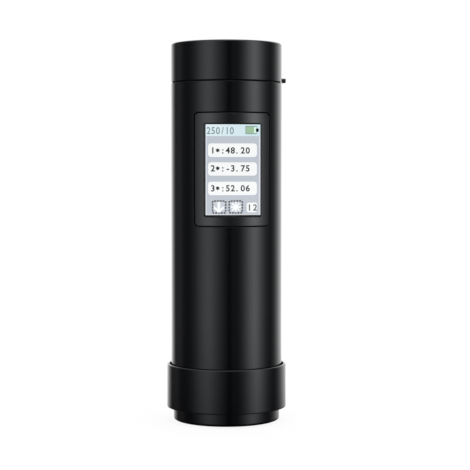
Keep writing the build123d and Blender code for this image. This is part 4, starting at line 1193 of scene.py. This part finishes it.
row_inputs = {
    "Count": 12, "Pitch": 0.5 * MM, "Width": 0.26 * MM, "Depth": 0.04 * MM, "Length": 4.0 * MM,
    "Finish": finishes["gilt_contact"],
}
row_tree, row_in, row_out = new_tree("contact_row", row_inputs)
row_step = node(row_tree, "ShaderNodeCombineXYZ", {"X": row_in["Pitch"]})
row_points = node(row_tree, "GeometryNodeMeshLine", {"Count": row_in["Count"], "Offset": row_step})
row_size = node(row_tree, "ShaderNodeCombineXYZ", {
    "X": row_in["Width"], "Y": row_in["Depth"], "Z": row_in["Length"],
})
row_block = node(row_tree, "GeometryNodeMeshCube", {"Size": row_size})
row_copies = node(row_tree, "GeometryNodeInstanceOnPoints", {"Points": row_points, "Instance": row_block})
end_tree(row_tree, row_out, row_copies, row_in["Finish"])
half_row = (row_inputs["Count"] - 1) * row_inputs["Pitch"] / 2
contact_z = tongue_top - row_inputs["Length"] / 2 - 0.3 * MM
for name, side in (("front_contacts", -1), ("back_contacts", 1)):
    contact_y = socket_y + side * (tongue_thick / 2 + row_inputs["Depth"] / 2)
    contacts = grow(name, row_tree, row_inputs, Matrix.Translation((-half_row, contact_y, contact_z)))
    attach(contacts, "instrument")

# %% [markdown]
# ## Power key, its spring and the charging light
#
# The key is a plunger that sticks out of the tube by 2 mm at the seam. It is turned along its own axis
# and laid along X. Its spring is a path with a round section, so a Spiral and Curve to Mesh make it.

# %% The key and its spring
key_stem_x = key_low.x
key_stem_radius = 0.7 * MM
key_flange_x = 19.7 * MM
key_flange_end = 20.5 * MM
key_radius = 1.05 * MM
key_flange_radius = 1.9 * MM
key_outline = [
    (0, key_stem_x, 0),
    (key_stem_radius, key_stem_x, 0.15 * MM),
    (key_stem_radius, key_flange_x, 0),
    (key_flange_radius, key_flange_x, 0.1 * MM),
    (key_flange_radius, key_flange_end, 0.1 * MM),
    (key_radius, key_flange_end, 0),
    (key_radius, key_tip_x, 0.3 * MM),
    (0, key_tip_x, 0),
]
dress(along_x(lathe("key_plunger", key_outline, segments=96), key_z), "key_black", "key", "power_key")

metal("spring_steel", (0.60, 0.60, 0.61), 0.28, stretch=(1, 1, 1), grain=0.4)
spring_low, spring_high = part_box("key_spring")
spring_wire = 0.2 * MM
coil_inputs = {
    "Turns": 3.5, "Coil radius": 1.25 * MM, "Length": spring_high.x - spring_low.x - 2 * spring_wire,
    "Wire radius": spring_wire, "Finish": finishes["spring_steel"],
}
coil_tree, coil_in, coil_out = new_tree("coil_spring", coil_inputs)
coil_path = node(coil_tree, "GeometryNodeCurveSpiral", {
    "Resolution": 40, "Rotations": coil_in["Turns"], "Start Radius": coil_in["Coil radius"],
    "End Radius": coil_in["Coil radius"], "Height": coil_in["Length"],
})
coil_section = node(coil_tree, "GeometryNodeCurvePrimitiveCircle", {
    "Resolution": 10, "Radius": coil_in["Wire radius"],
})
coil_wire = node(coil_tree, "GeometryNodeCurveToMesh", {
    "Curve": coil_path, "Profile Curve": coil_section, "Fill Caps": True,
})
end_tree(coil_tree, coil_out, coil_wire, coil_in["Finish"])
spring = along_x(grow("key_coil", coil_tree, coil_inputs), key_z)
spring.data.transform(Matrix.Translation((spring_low.x + spring_wire, 0, 0)))
dress(spring, "spring_steel", "key", "key_spring")


def clear(name, colour, lump_mm, low, high, **sockets):
    """Clear plastic or glass, with a gloss that is uneven in lumps."""
    material, shader = new_finish(name, colour, (low + high) / 2, **sockets)
    uneven_gloss(material, shader, noise(material, object_place(material), lump_mm), low, high)


clear("light_clear", (0.72, 0.86, 0.78), 0.8, 0.16, 0.32,
      transmission_weight=0.75, ior=1.49, coat_weight=0.3)
light_side = light_radius - 0.04 * MM
light_outline = [
    (0, light_high.z, 0),
    (light_side, light_high.z - 0.12 * MM, 0.2 * MM),
    (light_side, light_low.z, 0),
    (0, light_low.z, 0),
]
light = lathe("charge_lens", light_outline, segments=64)
light.data.transform(Matrix.Translation((0, light_y, 0)))
dress(light, "light_clear", "instrument", "light_pipe")

# %% [markdown]
# ## The washer in the seam
#
# The lid doesn't stand on the tube itself, but on a split plastic washer that lies round the neck. It is a
# little narrower than the tube, so all that shows of it is the dark line between tube and lid. Its finish is
# darker and more matt than the black of its slot, as painted shade for the shadow in the seam. Its gap is
# where the power key passes.

# %% A split washer
washer_radius, washer_low, washer_high = turned_box("lid_washer")
washer_inner = neck_tip_radius + 0.05 * MM
washer_gap = 3.2 * MM
washer_outline = [
    (washer_inner, washer_low, 0),
    (washer_radius, washer_low, 0.1 * MM),
    (washer_radius, washer_high, 0.1 * MM),
    (washer_inner, washer_high, 0),
]
gap_tool = block(
    "gap_tool", (washer_inner - MM, -washer_gap / 2, washer_low - MM),
    (washer_radius + MM, washer_gap / 2, washer_high + MM),
)
washer = cut_away(lathe("seam_washer", washer_outline, segments=256), gap_tool)
# Painted shade: this black is darker and more matt than the washer's slot, for the shadow in the seam.
moulded("washer_black", (0.004, 0.004, 0.004), 0.8, grain=0.3, depth=0.003, specular_ior_level=0.15)
dress(washer, "deck_black", "instrument", "lid_washer", finish="washer_black")

# %% [markdown]
# ## The display
#
# The display is a flat module behind the glass. A real one is a lit sheet with many fine dots, and what it
# shows here is a plain reading screen: three lines of numbers, a battery and two round-cornered buttons. A
# picture texture would be easy, but it can't be followed or changed. So each patch of the screen is a thin
# plate of its own that gives off its own light, and the plates lie on each other in steps of 0.03 mm. The
# light has faint upright stripes, as a display has under a lens.
#
# Places on the screen are given in millimetres from its top left corner, across and down.

# %% Light of a screen colour
screen_left = -glass_width / 2
screen_top = glass_z + glass_height / 2
screen_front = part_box("display_panel")[0].y
layer = 0.03 * MM
stripe_pitch_mm = 0.691


def linear(colour):
    """A colour of 0 to 255 as a screen shows it, brought to the renderer's linear scale."""
    levels = [channel / 255 for channel in colour]
    return [level / 12.92 if level <= 0.04045 else ((level + 0.055) / 1.055) ** 2.4 for level in levels]


def wave_scale(pitch_mm):
    """The scale of a Wave Texture with one wave every pitch_mm. Its sine runs 20 radians in a unit."""
    return 2 * pi / 20 / (pitch_mm * MM)


def lit(name, colour, far_colour=None, gain=1.06):
    """A lit patch: its light ripples in faint stripes, and may turn to a second colour towards the right."""
    material, shader = new_finish(name, (0.0, 0.0, 0.0), 0.5, specular_ior_level=0.0, emission_strength=gain)
    place = object_place(material)
    stripes = node(material, "ShaderNodeTexWave", {"Vector": place, "Scale": wave_scale(stripe_pitch_mm)})
    ripple = in_range(material, stripes.outputs["Fac"], 0.97, 1.0, 0.0, 1.0)
    parts = node(material, "ShaderNodeSeparateXYZ", {"Vector": place})
    across = in_range(material, parts.outputs["X"], 0.0, 1.0, screen_left, -screen_left)
    tones = [(*linear(tone), 1) for tone in (colour, far_colour or colour)]
    blend = node(material, "ShaderNodeMix", data_type="RGBA")
    link(material, across, blend.inputs[0])
    blend.inputs[6].default_value, blend.inputs[7].default_value = tones
    light = {"Vector": blend.outputs[2], "Scale": ripple}
    scaled = node(material, "ShaderNodeVectorMath", light, operation="SCALE")
    link(material, scaled.outputs["Vector"], shader.inputs["Emission Color"])


screen_colours = {
    "screen_edge": [(228, 230, 238)],
    "screen_ground": [(192, 199, 208)],
    "screen_header": [(226, 240, 244), (208, 232, 240)],
    "screen_field": [(248, 250, 250)],
    "screen_button": [(203, 208, 217)],
    "screen_ink": [(36, 38, 42)],
    "screen_case": [(146, 168, 162)],
    "screen_black": [(2, 3, 4)],
    "screen_pale_ink": [(118, 142, 150)],
    "screen_charge": [(160, 196, 160)],
    "screen_spare": [(222, 249, 237)],
}
for name, colours in screen_colours.items():
    lit(name, *colours)
print("screen colours:", len(screen_colours))

# %% [markdown]
# Each patch is a rounded rectangle with a little thickness, made from the same outline as the window. The
# digits are Blender's own font, one text object per character, so that they stand at an even pitch as on
# a real instrument. They become meshes and are joined to one piece per line.

# %% Patches and digits


def screen_point(across, down, depth=0.0):
    """A place on the screen in mm from its top left corner, at a depth towards the viewer in metres."""
    return Vector((screen_left + across * MM, screen_front - depth, screen_top - down * MM))


def light_up(piece, colour):
    """Gives a piece of the screen its colour and its body."""
    piece.data.materials.clear()
    piece.data.materials.append(finishes[colour])
    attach(piece, "instrument")
    return piece


def patch_mesh(bm, left, top, right, bottom, corner, step):
    """Adds one rounded plate on the given layer, with places in mm."""
    low = screen_point(left, bottom, step * layer)
    high = screen_point(right, top, (step + 1) * layer)
    radius = corner * MM
    shares = [index / 6 for index in range(7)] if corner else [0]
    section = []
    for x, z, turn in ((high.x - radius, high.z - radius, 0), (low.x + radius, high.z - radius, 1),
                       (low.x + radius, low.z + radius, 2), (high.x - radius, low.z + radius, 3)):
        angles = [pi / 2 * (turn + share) for share in shares]
        section += [(x + radius * cos(angle), z + radius * sin(angle)) for angle in angles]
    prism(bm, *[[(x, y, z) for x, z in section] for y in (low.y, high.y)])


def patch(name, colour, boxes, step):
    """One piece of one or more rounded plates of the same colour."""
    bm = bmesh.new()
    for box in boxes:
        patch_mesh(bm, *box, step)
    return light_up(new_piece(name, bm), colour)


digit_share = 0.70     # the height of a digit as a share of the font's size
point_shift = 0.17     # a decimal point stands this share of the pitch further left


def digits(name, colour, text, first_across, pitch, baseline, height, step, bold=0.0, narrow=1.0):
    """A line of characters at an even pitch, all of one height, as one mesh."""
    bm = bmesh.new()
    for index, character in enumerate(text):
        if character == " ":
            continue
        curve = bpy.data.curves.new("glyph", "FONT")
        curve.body = character
        curve.size = height * MM / digit_share
        curve.align_x = "CENTER"
        curve.extrude = layer / 2
        curve.offset = bold * MM
        curve.resolution_u = 3
        glyph = bpy.data.objects.new("glyph", curve)
        bpy.context.scene.collection.objects.link(glyph)
        depsgraph = bpy.context.evaluated_depsgraph_get()
        mesh = bpy.data.meshes.new_from_object(glyph.evaluated_get(depsgraph))
        across = first_across + pitch * (index - (point_shift if character == "." else 0))
        place = Matrix.Translation(screen_point(across, baseline, (step + 0.5) * layer))
        mesh.transform(place @ Matrix.Rotation(pi / 2, 4, "X") @ Matrix.Scale(narrow, 4, (1, 0, 0)))
        bm.from_mesh(mesh)
        bpy.data.objects.remove(glyph)
        bpy.data.curves.remove(curve)
        bpy.data.meshes.remove(mesh)
    bmesh.ops.remove_doubles(bm, verts=bm.verts, dist=1e-7)
    return light_up(new_piece(name, bm), colour)


# %% [markdown]
# The module itself is a thin steel tray with the lit sheet on its front.

# %% The module and its lit sheet
module = block("display_module", *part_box("display_panel"), 0.25 * MM)
moulded("display", (0.020, 0.020, 0.022), 0.35, grain=0.6, depth=0.002)
dress(module, "display", "instrument", "display_panel")
screen_width = glass_width / MM
screen_height = glass_height / MM
sheet_left = 0.37
sheet_top = 0.0
sheet_right = screen_width - 0.045
sheet_bottom = screen_height - 0.45
header_bottom = 5.1
patch("lit_sheet", "screen_edge", [(sheet_left, sheet_top, sheet_right, sheet_bottom, 0)], 0)
patch("ground", "screen_ground",
      [(sheet_left + 0.45, header_bottom, sheet_right - 0.45, sheet_bottom - 0.3, 0)], 1)
patch("header_strip", "screen_header", [(sheet_left, sheet_top, sheet_right, header_bottom, 0)], 1)

# %% [markdown]
# Three white fields with a reading each, two buttons with broken outlines, and a small counter. The
# numbers are plain examples. Each box is its left, top, right and bottom edge and the rounding of its
# corners, and the number after the boxes is their layer.

# %% Fields, counter and numbers
field_left = 1.4
field_right = 22.95
field_rows = [(8.3, 14.2, 12.65), (16.55, 22.35, 20.47), (25.0, 30.87, 29.18)]
readings = ["1 :48.20", "2 :-3.75", "3 :52.06"]
patch("reading_fields", "screen_field",
      [(field_left, top, field_right, bottom, 1.3) for top, bottom, _ in field_rows], 2)
for row, ((_, _, baseline), reading) in enumerate(zip(field_rows, readings), 1):
    digits(f"reading_{row}", "screen_ink", reading, 3.5, 2.2, baseline, 2.66, 3, bold=0.09)
digits("header_numbers", "screen_pale_ink", "250/10", 1.67, 2.04, 4.2, 3.0, 2, bold=0.05, narrow=0.86)
patch("counter_field", "screen_field", [(18.45, 34.15, 23.1, 38.45, 0.9)], 2)
digits("counter_numbers", "screen_ink", "12", 19.65, 2.5, 37.65, 2.72, 3, bold=0.05)
patch("battery_case", "screen_case", [(17.86, 0.62, 22.95, 4.24, 0.35)], 2)
patch("battery_spare", "screen_spare", [(18.25, 1.12, 22.75, 3.74, 0.2)], 3)
patch("battery_charge", "screen_charge", [(18.25, 1.12, 21.65, 3.74, 0.2)], 4)
patch("battery_tip", "screen_black", [(22.45, 1.7, 23.75, 3.3, 0.6)], 5)
patch("button_faces", "screen_button", [(3.2, 33.2, 9.35, 38.9, 0.6), (10.5, 33.2, 16.7, 38.9, 0.6)], 2)

# %% [markdown]
# A broken outline is a rule, so it is Geometry Nodes: a rounded rectangle as a curve, points along it at
# even steps, and a short block on each point, turned to lie along the curve.

# %% Broken outlines round the buttons
dash_inputs = {
    "Width": 5.75 * MM, "Height": 5.2 * MM, "Corner": 0.5 * MM, "Step": 1.26 * MM, "Long": 0.78 * MM,
    "Wide": 0.70 * MM, "Deep": layer, "Finish": finishes["screen_black"],
}
dash_tree, dash_in, dash_out = new_tree("broken_outline", dash_inputs)
dash_frame = node(dash_tree, "GeometryNodeCurvePrimitiveQuadrilateral", {
    "Width": dash_in["Width"], "Height": dash_in["Height"],
})
dash_path = node(dash_tree, "GeometryNodeFilletCurve", {
    "Curve": dash_frame, "Radius": dash_in["Corner"], "Count": 6,
}, mode="POLY")
dash_points = node(dash_tree, "GeometryNodeCurveToPoints", {
    "Curve": dash_path, "Length": dash_in["Step"],
}, mode="LENGTH")
dash_turn = node(dash_tree, "FunctionNodeAlignRotationToVector", {
    "Vector": dash_points.outputs["Tangent"],
}, axis="X", pivot_axis="Z")
dash_size = node(dash_tree, "ShaderNodeCombineXYZ", {
    "X": dash_in["Long"], "Y": dash_in["Wide"], "Z": dash_in["Deep"],
})
dash_block = node(dash_tree, "GeometryNodeMeshCube", {"Size": dash_size})
dash_copies = node(dash_tree, "GeometryNodeInstanceOnPoints", {
    "Points": dash_points.outputs["Points"], "Instance": dash_block, "Rotation": dash_turn,
})
end_tree(dash_tree, dash_out, dash_copies, dash_in["Finish"])
button_down = 36.05
for name, middle in (("left_outline", 6.27), ("right_outline", 13.6)):
    middle_point = screen_point(middle, button_down, 3.5 * layer)
    place = Matrix.Translation(middle_point) @ Matrix.Rotation(pi / 2, 4, "X")
    light_up(grow(name, dash_tree, dash_inputs, place), "screen_black")

# %% [markdown]
# The signs on the buttons are two plain ones: an arrow that points down, and an eight-armed star.

# %% Signs on the buttons


def sign(name, strokes, middle_across, middle_down, colour="screen_field"):
    """A sign of straight strokes of (x, z, x, z, width) in mm round its middle."""
    bm = bmesh.new()
    for x1, z1, x2, z2, width in strokes:
        start = screen_point(middle_across + x1, middle_down - z1, 3 * layer)
        end = screen_point(middle_across + x2, middle_down - z2, 3 * layer)
        along = (end - start).normalized()
        aside = Vector((along.z, 0, -along.x)) * (width * MM / 2)
        back = (start - aside, end - aside, end + aside, start + aside)
        prism(bm, back, [point - Vector((0, layer, 0)) for point in back])
    return light_up(new_piece(name, bm), colour)


sign("save_sign", [(0, 2.3, 0, -1.9, 1.25), (-2.2, -0.1, 0.25, -2.25, 0.9), (2.2, -0.1, -0.25, -2.25, 0.9)],
     6.15, button_down)


def star(reach, width, arms):
    """Strokes that cross in the middle, at even angles from the upright one."""
    turns = [pi * arm / arms for arm in range(arms)]
    ways = [(reach * sin(turn), reach * cos(turn)) for turn in turns]
    return [(x, z, -x, -z, width) for x, z in ways]


sign("setup_sign", star(2.3, 0.72, 4), 13.6, button_down)
for row, (_, _, baseline) in enumerate(field_rows, 1):
    sign(f"star_{row}", star(0.85, 0.5, 3), 5.65, baseline - 1.33, "screen_ink")

# %% [markdown]
# ## The glass over the display
#
# The cover glass is flat, while the panel is curved, so it lies 3 mm deep along its middle and flush at its
# two sides. It is clear glass with a finely ground edge. The light of the display shines through it, so it
# needs Transmission and not just a low Alpha. Its flat faces keep their own normals: with smoothed ones,
# the light would bend wrongly near the edges, and dark wedges would show there.

# %% Clear cover glass
glass_back = glass_low.y + 0.35 * MM
cover = block("cover_glass", glass_low, (glass_high.x, glass_back, glass_high.z), 0.08 * MM)
true_flat(cover, axis=1)
clear("screen_glass", (1.0, 1.0, 1.0), 6.0, 0.015, 0.05, transmission_weight=1.0, ior=1.45)
dress(cover, "screen_glass", "instrument", "touch_glass")

# %% [markdown]
# ## The finishes inside
#
# The rest of the instrument is seen only when it is taken apart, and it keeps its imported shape. It still
# gets true finishes: green and black circuit boards with copper tracks under the paint, folded shield
# metal, ivory connectors, the battery's wrap, woven strap and coloured leads.

# %% Boards, wrap, cloth and wire


def circuit_board(name, paint, track, cell_mm=6.0):
    """A painted board: copper tracks run in steps under the paint and show as a lighter tone."""
    material, shader = new_finish(name, paint, 0.38, coat_weight=0.25)
    place = object_place(material)
    black, white = (0, 0, 0, 1), (1, 1, 1, 1)
    routes = node(material, "ShaderNodeTexBrick", {
        "Vector": place, "Scale": 1000 / cell_mm, "Brick Width": 0.8, "Row Height": 0.22,
        "Mortar Size": 0.045, "Color1": black, "Color2": black, "Mortar": white,
    })
    two_tone(material, shader, routes.outputs["Color"], paint, track, 0.2, 0.8)
    uneven_gloss(material, shader, noise(material, place, 3.0), 0.30, 0.46)
    bumped(material, shader, routes.outputs["Color"], 0.02)


def wrapped_cell(name, wrap, cap):
    """A round cell: a shrunk plastic wrap on its side, and bare steel at its two ends."""
    material, shader = new_finish(name, wrap, 0.32)
    cell_low, cell_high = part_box("battery_cell")
    place = object_place(material)
    middle = (cell_low.z + cell_high.z) / 2
    half = (cell_high.z - cell_low.z) / 2
    level = node(material, "ShaderNodeSeparateXYZ", {"Vector": place}).outputs["Z"]
    away = node(material, "ShaderNodeMath", {0: level, 1: middle}, operation="SUBTRACT")
    reach = node(material, "ShaderNodeMath", {0: away}, operation="ABSOLUTE")
    bare = in_range(material, reach.outputs[0], 0.0, 1.0, half - 0.9 * MM, half - 0.7 * MM)
    two_tone(material, shader, bare, wrap, cap, 0.3, 0.7)
    link(material, bare, shader.inputs["Metallic"])
    bumped(material, shader, noise(material, place, 1.5), 0.01)


def woven(name, colour, thread_mm):
    """A woven band: two waves at right angles, one for each direction of the threads."""
    material, shader = new_finish(name, colour, 0.85, sheen_weight=0.3)
    waves = {"Vector": object_place(material), "Scale": wave_scale(thread_mm)}
    weft = node(material, "ShaderNodeTexWave", waves).outputs["Fac"]
    warp = node(material, "ShaderNodeTexWave", waves, bands_direction="Z").outputs["Fac"]
    cross = node(material, "ShaderNodeMath", {0: weft, 1: warp}, operation="MULTIPLY").outputs[0]
    two_tone(material, shader, cross, shades(colour, 0.55), colour, 0.1, 0.6)
    bumped(material, shader, cross, 0.06)


circuit_board("board_green", (0.006, 0.075, 0.030), (0.020, 0.150, 0.060))
circuit_board("board_black", (0.012, 0.012, 0.013), (0.035, 0.034, 0.032))
metal("shield_metal", (0.66, 0.66, 0.67), 0.34, stretch=(1, 8, 1), grain=0.7)
moulded("connector_ivory", (0.72, 0.66, 0.52), 0.45, grain=0.3, depth=0.006, tone=1.08)
metal("barrel_black", (0.030, 0.030, 0.032), 0.45, stretch=(1, 1, 20), grain=0.3, depth=0.002)
moulded("chassis_grey", (0.085, 0.088, 0.095), 0.52, grain=0.4, depth=0.010)
wrapped_cell("cell_wrap", (0.030, 0.120, 0.300), (0.62, 0.62, 0.63))
woven("strap_fabric", (0.030, 0.030, 0.033), 2.2)
moulded("ribbon_amber", (0.48, 0.19, 0.035), 0.28, grain=0.8, depth=0.002, coat_weight=0.4)
moulded("lead_black", (0.018, 0.018, 0.019), 0.42, grain=0.3, depth=0.003)
moulded("lead_red", (0.42, 0.018, 0.016), 0.42, grain=0.3, depth=0.003)
moulded("led_white", (0.80, 0.74, 0.40), 0.35, grain=0.3, depth=0.004, tone=1.06)
clear("optic_glass", (1.0, 1.0, 1.0), 3.0, 0.01, 0.03, transmission_weight=1.0, ior=1.52)
print("finishes:", len(finishes))

# %% [markdown]
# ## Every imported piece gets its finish
#
# The record names a slot for each node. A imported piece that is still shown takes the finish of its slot.

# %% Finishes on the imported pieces
slot_of_node = {part["node"]: part["material_slot"] for part in frame["record"]["subparts"]}
missing = sorted(set(slot_of_node.values()) - set(finishes))
print("slots without a finish:", missing)
for name, piece in nodes.items():
    finish = finishes[slot_of_node[name]]
    if not piece.material_slots:
        piece.data.materials.append(finish)
    for holder in piece.material_slots:
        holder.material = finish

# %% [markdown]
# ## Floor, studio and camera
#
# The instrument stands on a plain pale floor that melts into a white background. The floor is plain white
# to the camera apart from the object's shadow, and it isn't mirrored in the gloss. It rides with the cap,
# because the cap is what stands on it: pulled off, the cap stays on the bench and the tube is lifted.
#
# The light comes from the world: a dark front with two tall soft lights, one at each side, and a bright
# ceiling, given by compass direction. Lamps would do the same, but a sky by direction has no edges and no
# hot spots, which is how a light tent looks in black plastic.

# %% The floor
half_floor = 12.0
own_light = 1.045          # with the lit share, this comes to just above white, so no noise shows
own_light_share = 0.86     # the rest is lit by the studio and takes the object's shadow
corners = [(-1, -1), (1, -1), (1, 1), (-1, 1)]
floor_mesh = bpy.data.meshes.new("floor")
floor_mesh.from_pydata([(half_floor * x, half_floor * y, 0) for x, y in corners], [], [(0, 1, 2, 3)])
floor = bpy.data.objects.new("floor", floor_mesh)
bpy.context.scene.collection.objects.link(floor)
floor_paint = bpy.data.materials.new("floor_paint")
floor_paint.use_nodes = True
floor_paint.node_tree.nodes.clear()
floor_lit = node(floor_paint, "ShaderNodeBsdfDiffuse", {"Color": (0.82, 0.82, 0.82, 1)})
floor_glow = node(floor_paint, "ShaderNodeEmission", {"Strength": own_light})
floor_seen = node(floor_paint, "ShaderNodeLightPath").outputs["Is Camera Ray"]
floor_share = node(floor_paint, "ShaderNodeMath", {0: floor_seen, 1: own_light_share}, operation="MULTIPLY")
floor_mix = node(floor_paint, "ShaderNodeMixShader", {0: floor_share, 1: floor_lit, 2: floor_glow})
node(floor_paint, "ShaderNodeOutputMaterial", {0: floor_mix})
floor_mesh.materials.append(floor_paint)
floor.visible_glossy = False
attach(floor, "calibration_cap")
floor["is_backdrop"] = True

# %% [markdown]
# ## The studio sky
#
# Each entry of the list is a compass direction and a brightness. Zero is the direction from which the
# camera looks, and positive directions are to its right. Between the entries the brightness is blended.
# Above, the sky turns to an even ceiling, and below the level of the table it falls off, because the tent
# ends there. The camera itself sees plain white.

# %% The sky by direction
camera_compass = -7.3
sky_stops = [
    (-180, 1.6), (-155, 1.5), (-144, 0.85), (-134, 0.14), (-125, 0.13), (-113, 0.22), (-103, 0.14),
    (-92, 0.09), (-80, 0.13), (-68, 0.31), (-57, 0.72), (-47, 1.12), (-39, 1.32), (-31, 1.19), (-21, 0.76),
    (-11, 0.42), (-2, 0.19), (6, 0.03), (13, 0.15), (22, 0.15), (31, 0.36), (40, 0.88), (50, 1.75),
    (60, 2.30), (68, 1.78), (78, 0.92), (89, 0.33), (103, 0.12), (115, 0.26), (128, 0.78), (140, 1.35),
    (180, 1.6),
]
sky_peak = 2.4
ceiling_light = 1.3
ceiling_from, ceiling_to = 0.45, 0.95
table_from, table_to, below_table = -0.221, -0.117, 0.1
world = bpy.data.worlds.new("studio")
bpy.context.scene.world = world
world.use_nodes = True
world.node_tree.nodes.clear()


def figure(operation, *values):
    """The outcome of a sum in the world's tree."""
    return node(world, "ShaderNodeMath", enumerate(values), operation=operation).outputs[0]


sky_place = node(world, "ShaderNodeTexCoord").outputs["Generated"]
direction = node(world, "ShaderNodeSeparateXYZ", {0: sky_place}).outputs
compass = figure("ARCTAN2", direction["X"], figure("MULTIPLY", direction["Y"], -1.0))
turn_share = figure("DIVIDE", figure("SUBTRACT", compass, radians(camera_compass)), 2 * pi)
wrapped = figure("FRACT", figure("ADD", turn_share, 0.5))
ramp = node(world, "ShaderNodeValToRGB", {0: wrapped})
stops = ramp.color_ramp
stops.interpolation = "LINEAR"
for place, (compass_angle, brightness) in enumerate(sky_stops):
    position = (compass_angle + 180) / 360
    if place == 0:
        stop = stops.elements[0]
    elif place == len(sky_stops) - 1:
        stop = stops.elements[-1]
    else:
        stop = stops.elements.new(position)
    stop.position = position
    level = brightness / sky_peak
    stop.color = (level, level, level, 1)
height = node(world, "ShaderNodeMapRange", {
    "Value": direction["Z"], "From Min": ceiling_from, "From Max": ceiling_to,
}, interpolation_type="SMOOTHSTEP")
skirt = node(world, "ShaderNodeMapRange", {
    "Value": direction["Z"], "From Min": table_from, "From Max": table_to, "To Min": below_table,
})
sides = figure("MULTIPLY", figure("MULTIPLY", ramp.outputs["Color"], skirt.outputs["Result"]), sky_peak)
strength = node(world, "ShaderNodeMix", {0: height.outputs["Result"], 2: sides, 3: ceiling_light})
seen = node(world, "ShaderNodeLightPath").outputs["Is Camera Ray"]
shown = node(world, "ShaderNodeMix", {0: seen, 2: strength, 3: 1.0})
background = node(world, "ShaderNodeBackground", {"Color": (1, 1, 1, 1), "Strength": shown})
node(world, "ShaderNodeOutputWorld", {0: background})
world.cycles.sampling_method = "MANUAL"
world.cycles.sample_map_resolution = 1024
bpy.context.scene.view_settings.view_transform = "Standard"
print("sky stops:", len(sky_stops))

# %% [markdown]
# ## The camera
#
# The photograph is taken from a little to the left and a little above the middle, from about two thirds
# of a metre. The way that the rings bow at the top, the seam and the foot gives the height and the
# distance. The camera looks slightly past the axis, so the object stands left of the middle.

# %% Where the camera stands and looks
camera_distance = 0.66
camera_height = 0.1133
lens_mm = 111.85
pitch = radians(2.566)
yaw = radians(0.3366)
compass_at = radians(camera_compass)
camera_place = Vector((sin(compass_at) * camera_distance, -cos(compass_at) * camera_distance, camera_height))
heading = Vector((-camera_place.x, -camera_place.y, 0)).normalized()
heading = Matrix.Rotation(-yaw, 3, "Z") @ heading
look = Vector((heading.x * cos(pitch), heading.y * cos(pitch), -sin(pitch)))
camera_data = bpy.data.cameras.new("camera")
camera_data.sensor_width = 36.0
camera_data.lens = lens_mm
camera_data.clip_start = 0.05
camera_data.clip_end = 60.0
camera = bpy.data.objects.new("camera", camera_data)
camera.location = camera_place
camera.rotation_mode = "QUATERNION"
camera.rotation_quaternion = look.to_track_quat("-Z", "Y")
bpy.context.scene.collection.objects.link(camera)
bpy.context.scene.camera = camera
print("camera at, mm:", [round(value / MM, 1) for value in camera_place])

# %% [markdown]
# ## Size of the dressed model
#
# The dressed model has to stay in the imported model's box. Both boxes are written down side by side.

# %% Both boxes, and the end
visual_bounds = [list(corner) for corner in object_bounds()]
for (cad_low, cad_high), (low, high) in zip(zip(*cad_bounds), zip(*visual_bounds)):
    print(f"packed {cad_low / MM:8.2f} to {cad_high / MM:7.2f} mm,",
          f"dressed {low / MM:8.2f} to {high / MM:7.2f} mm")
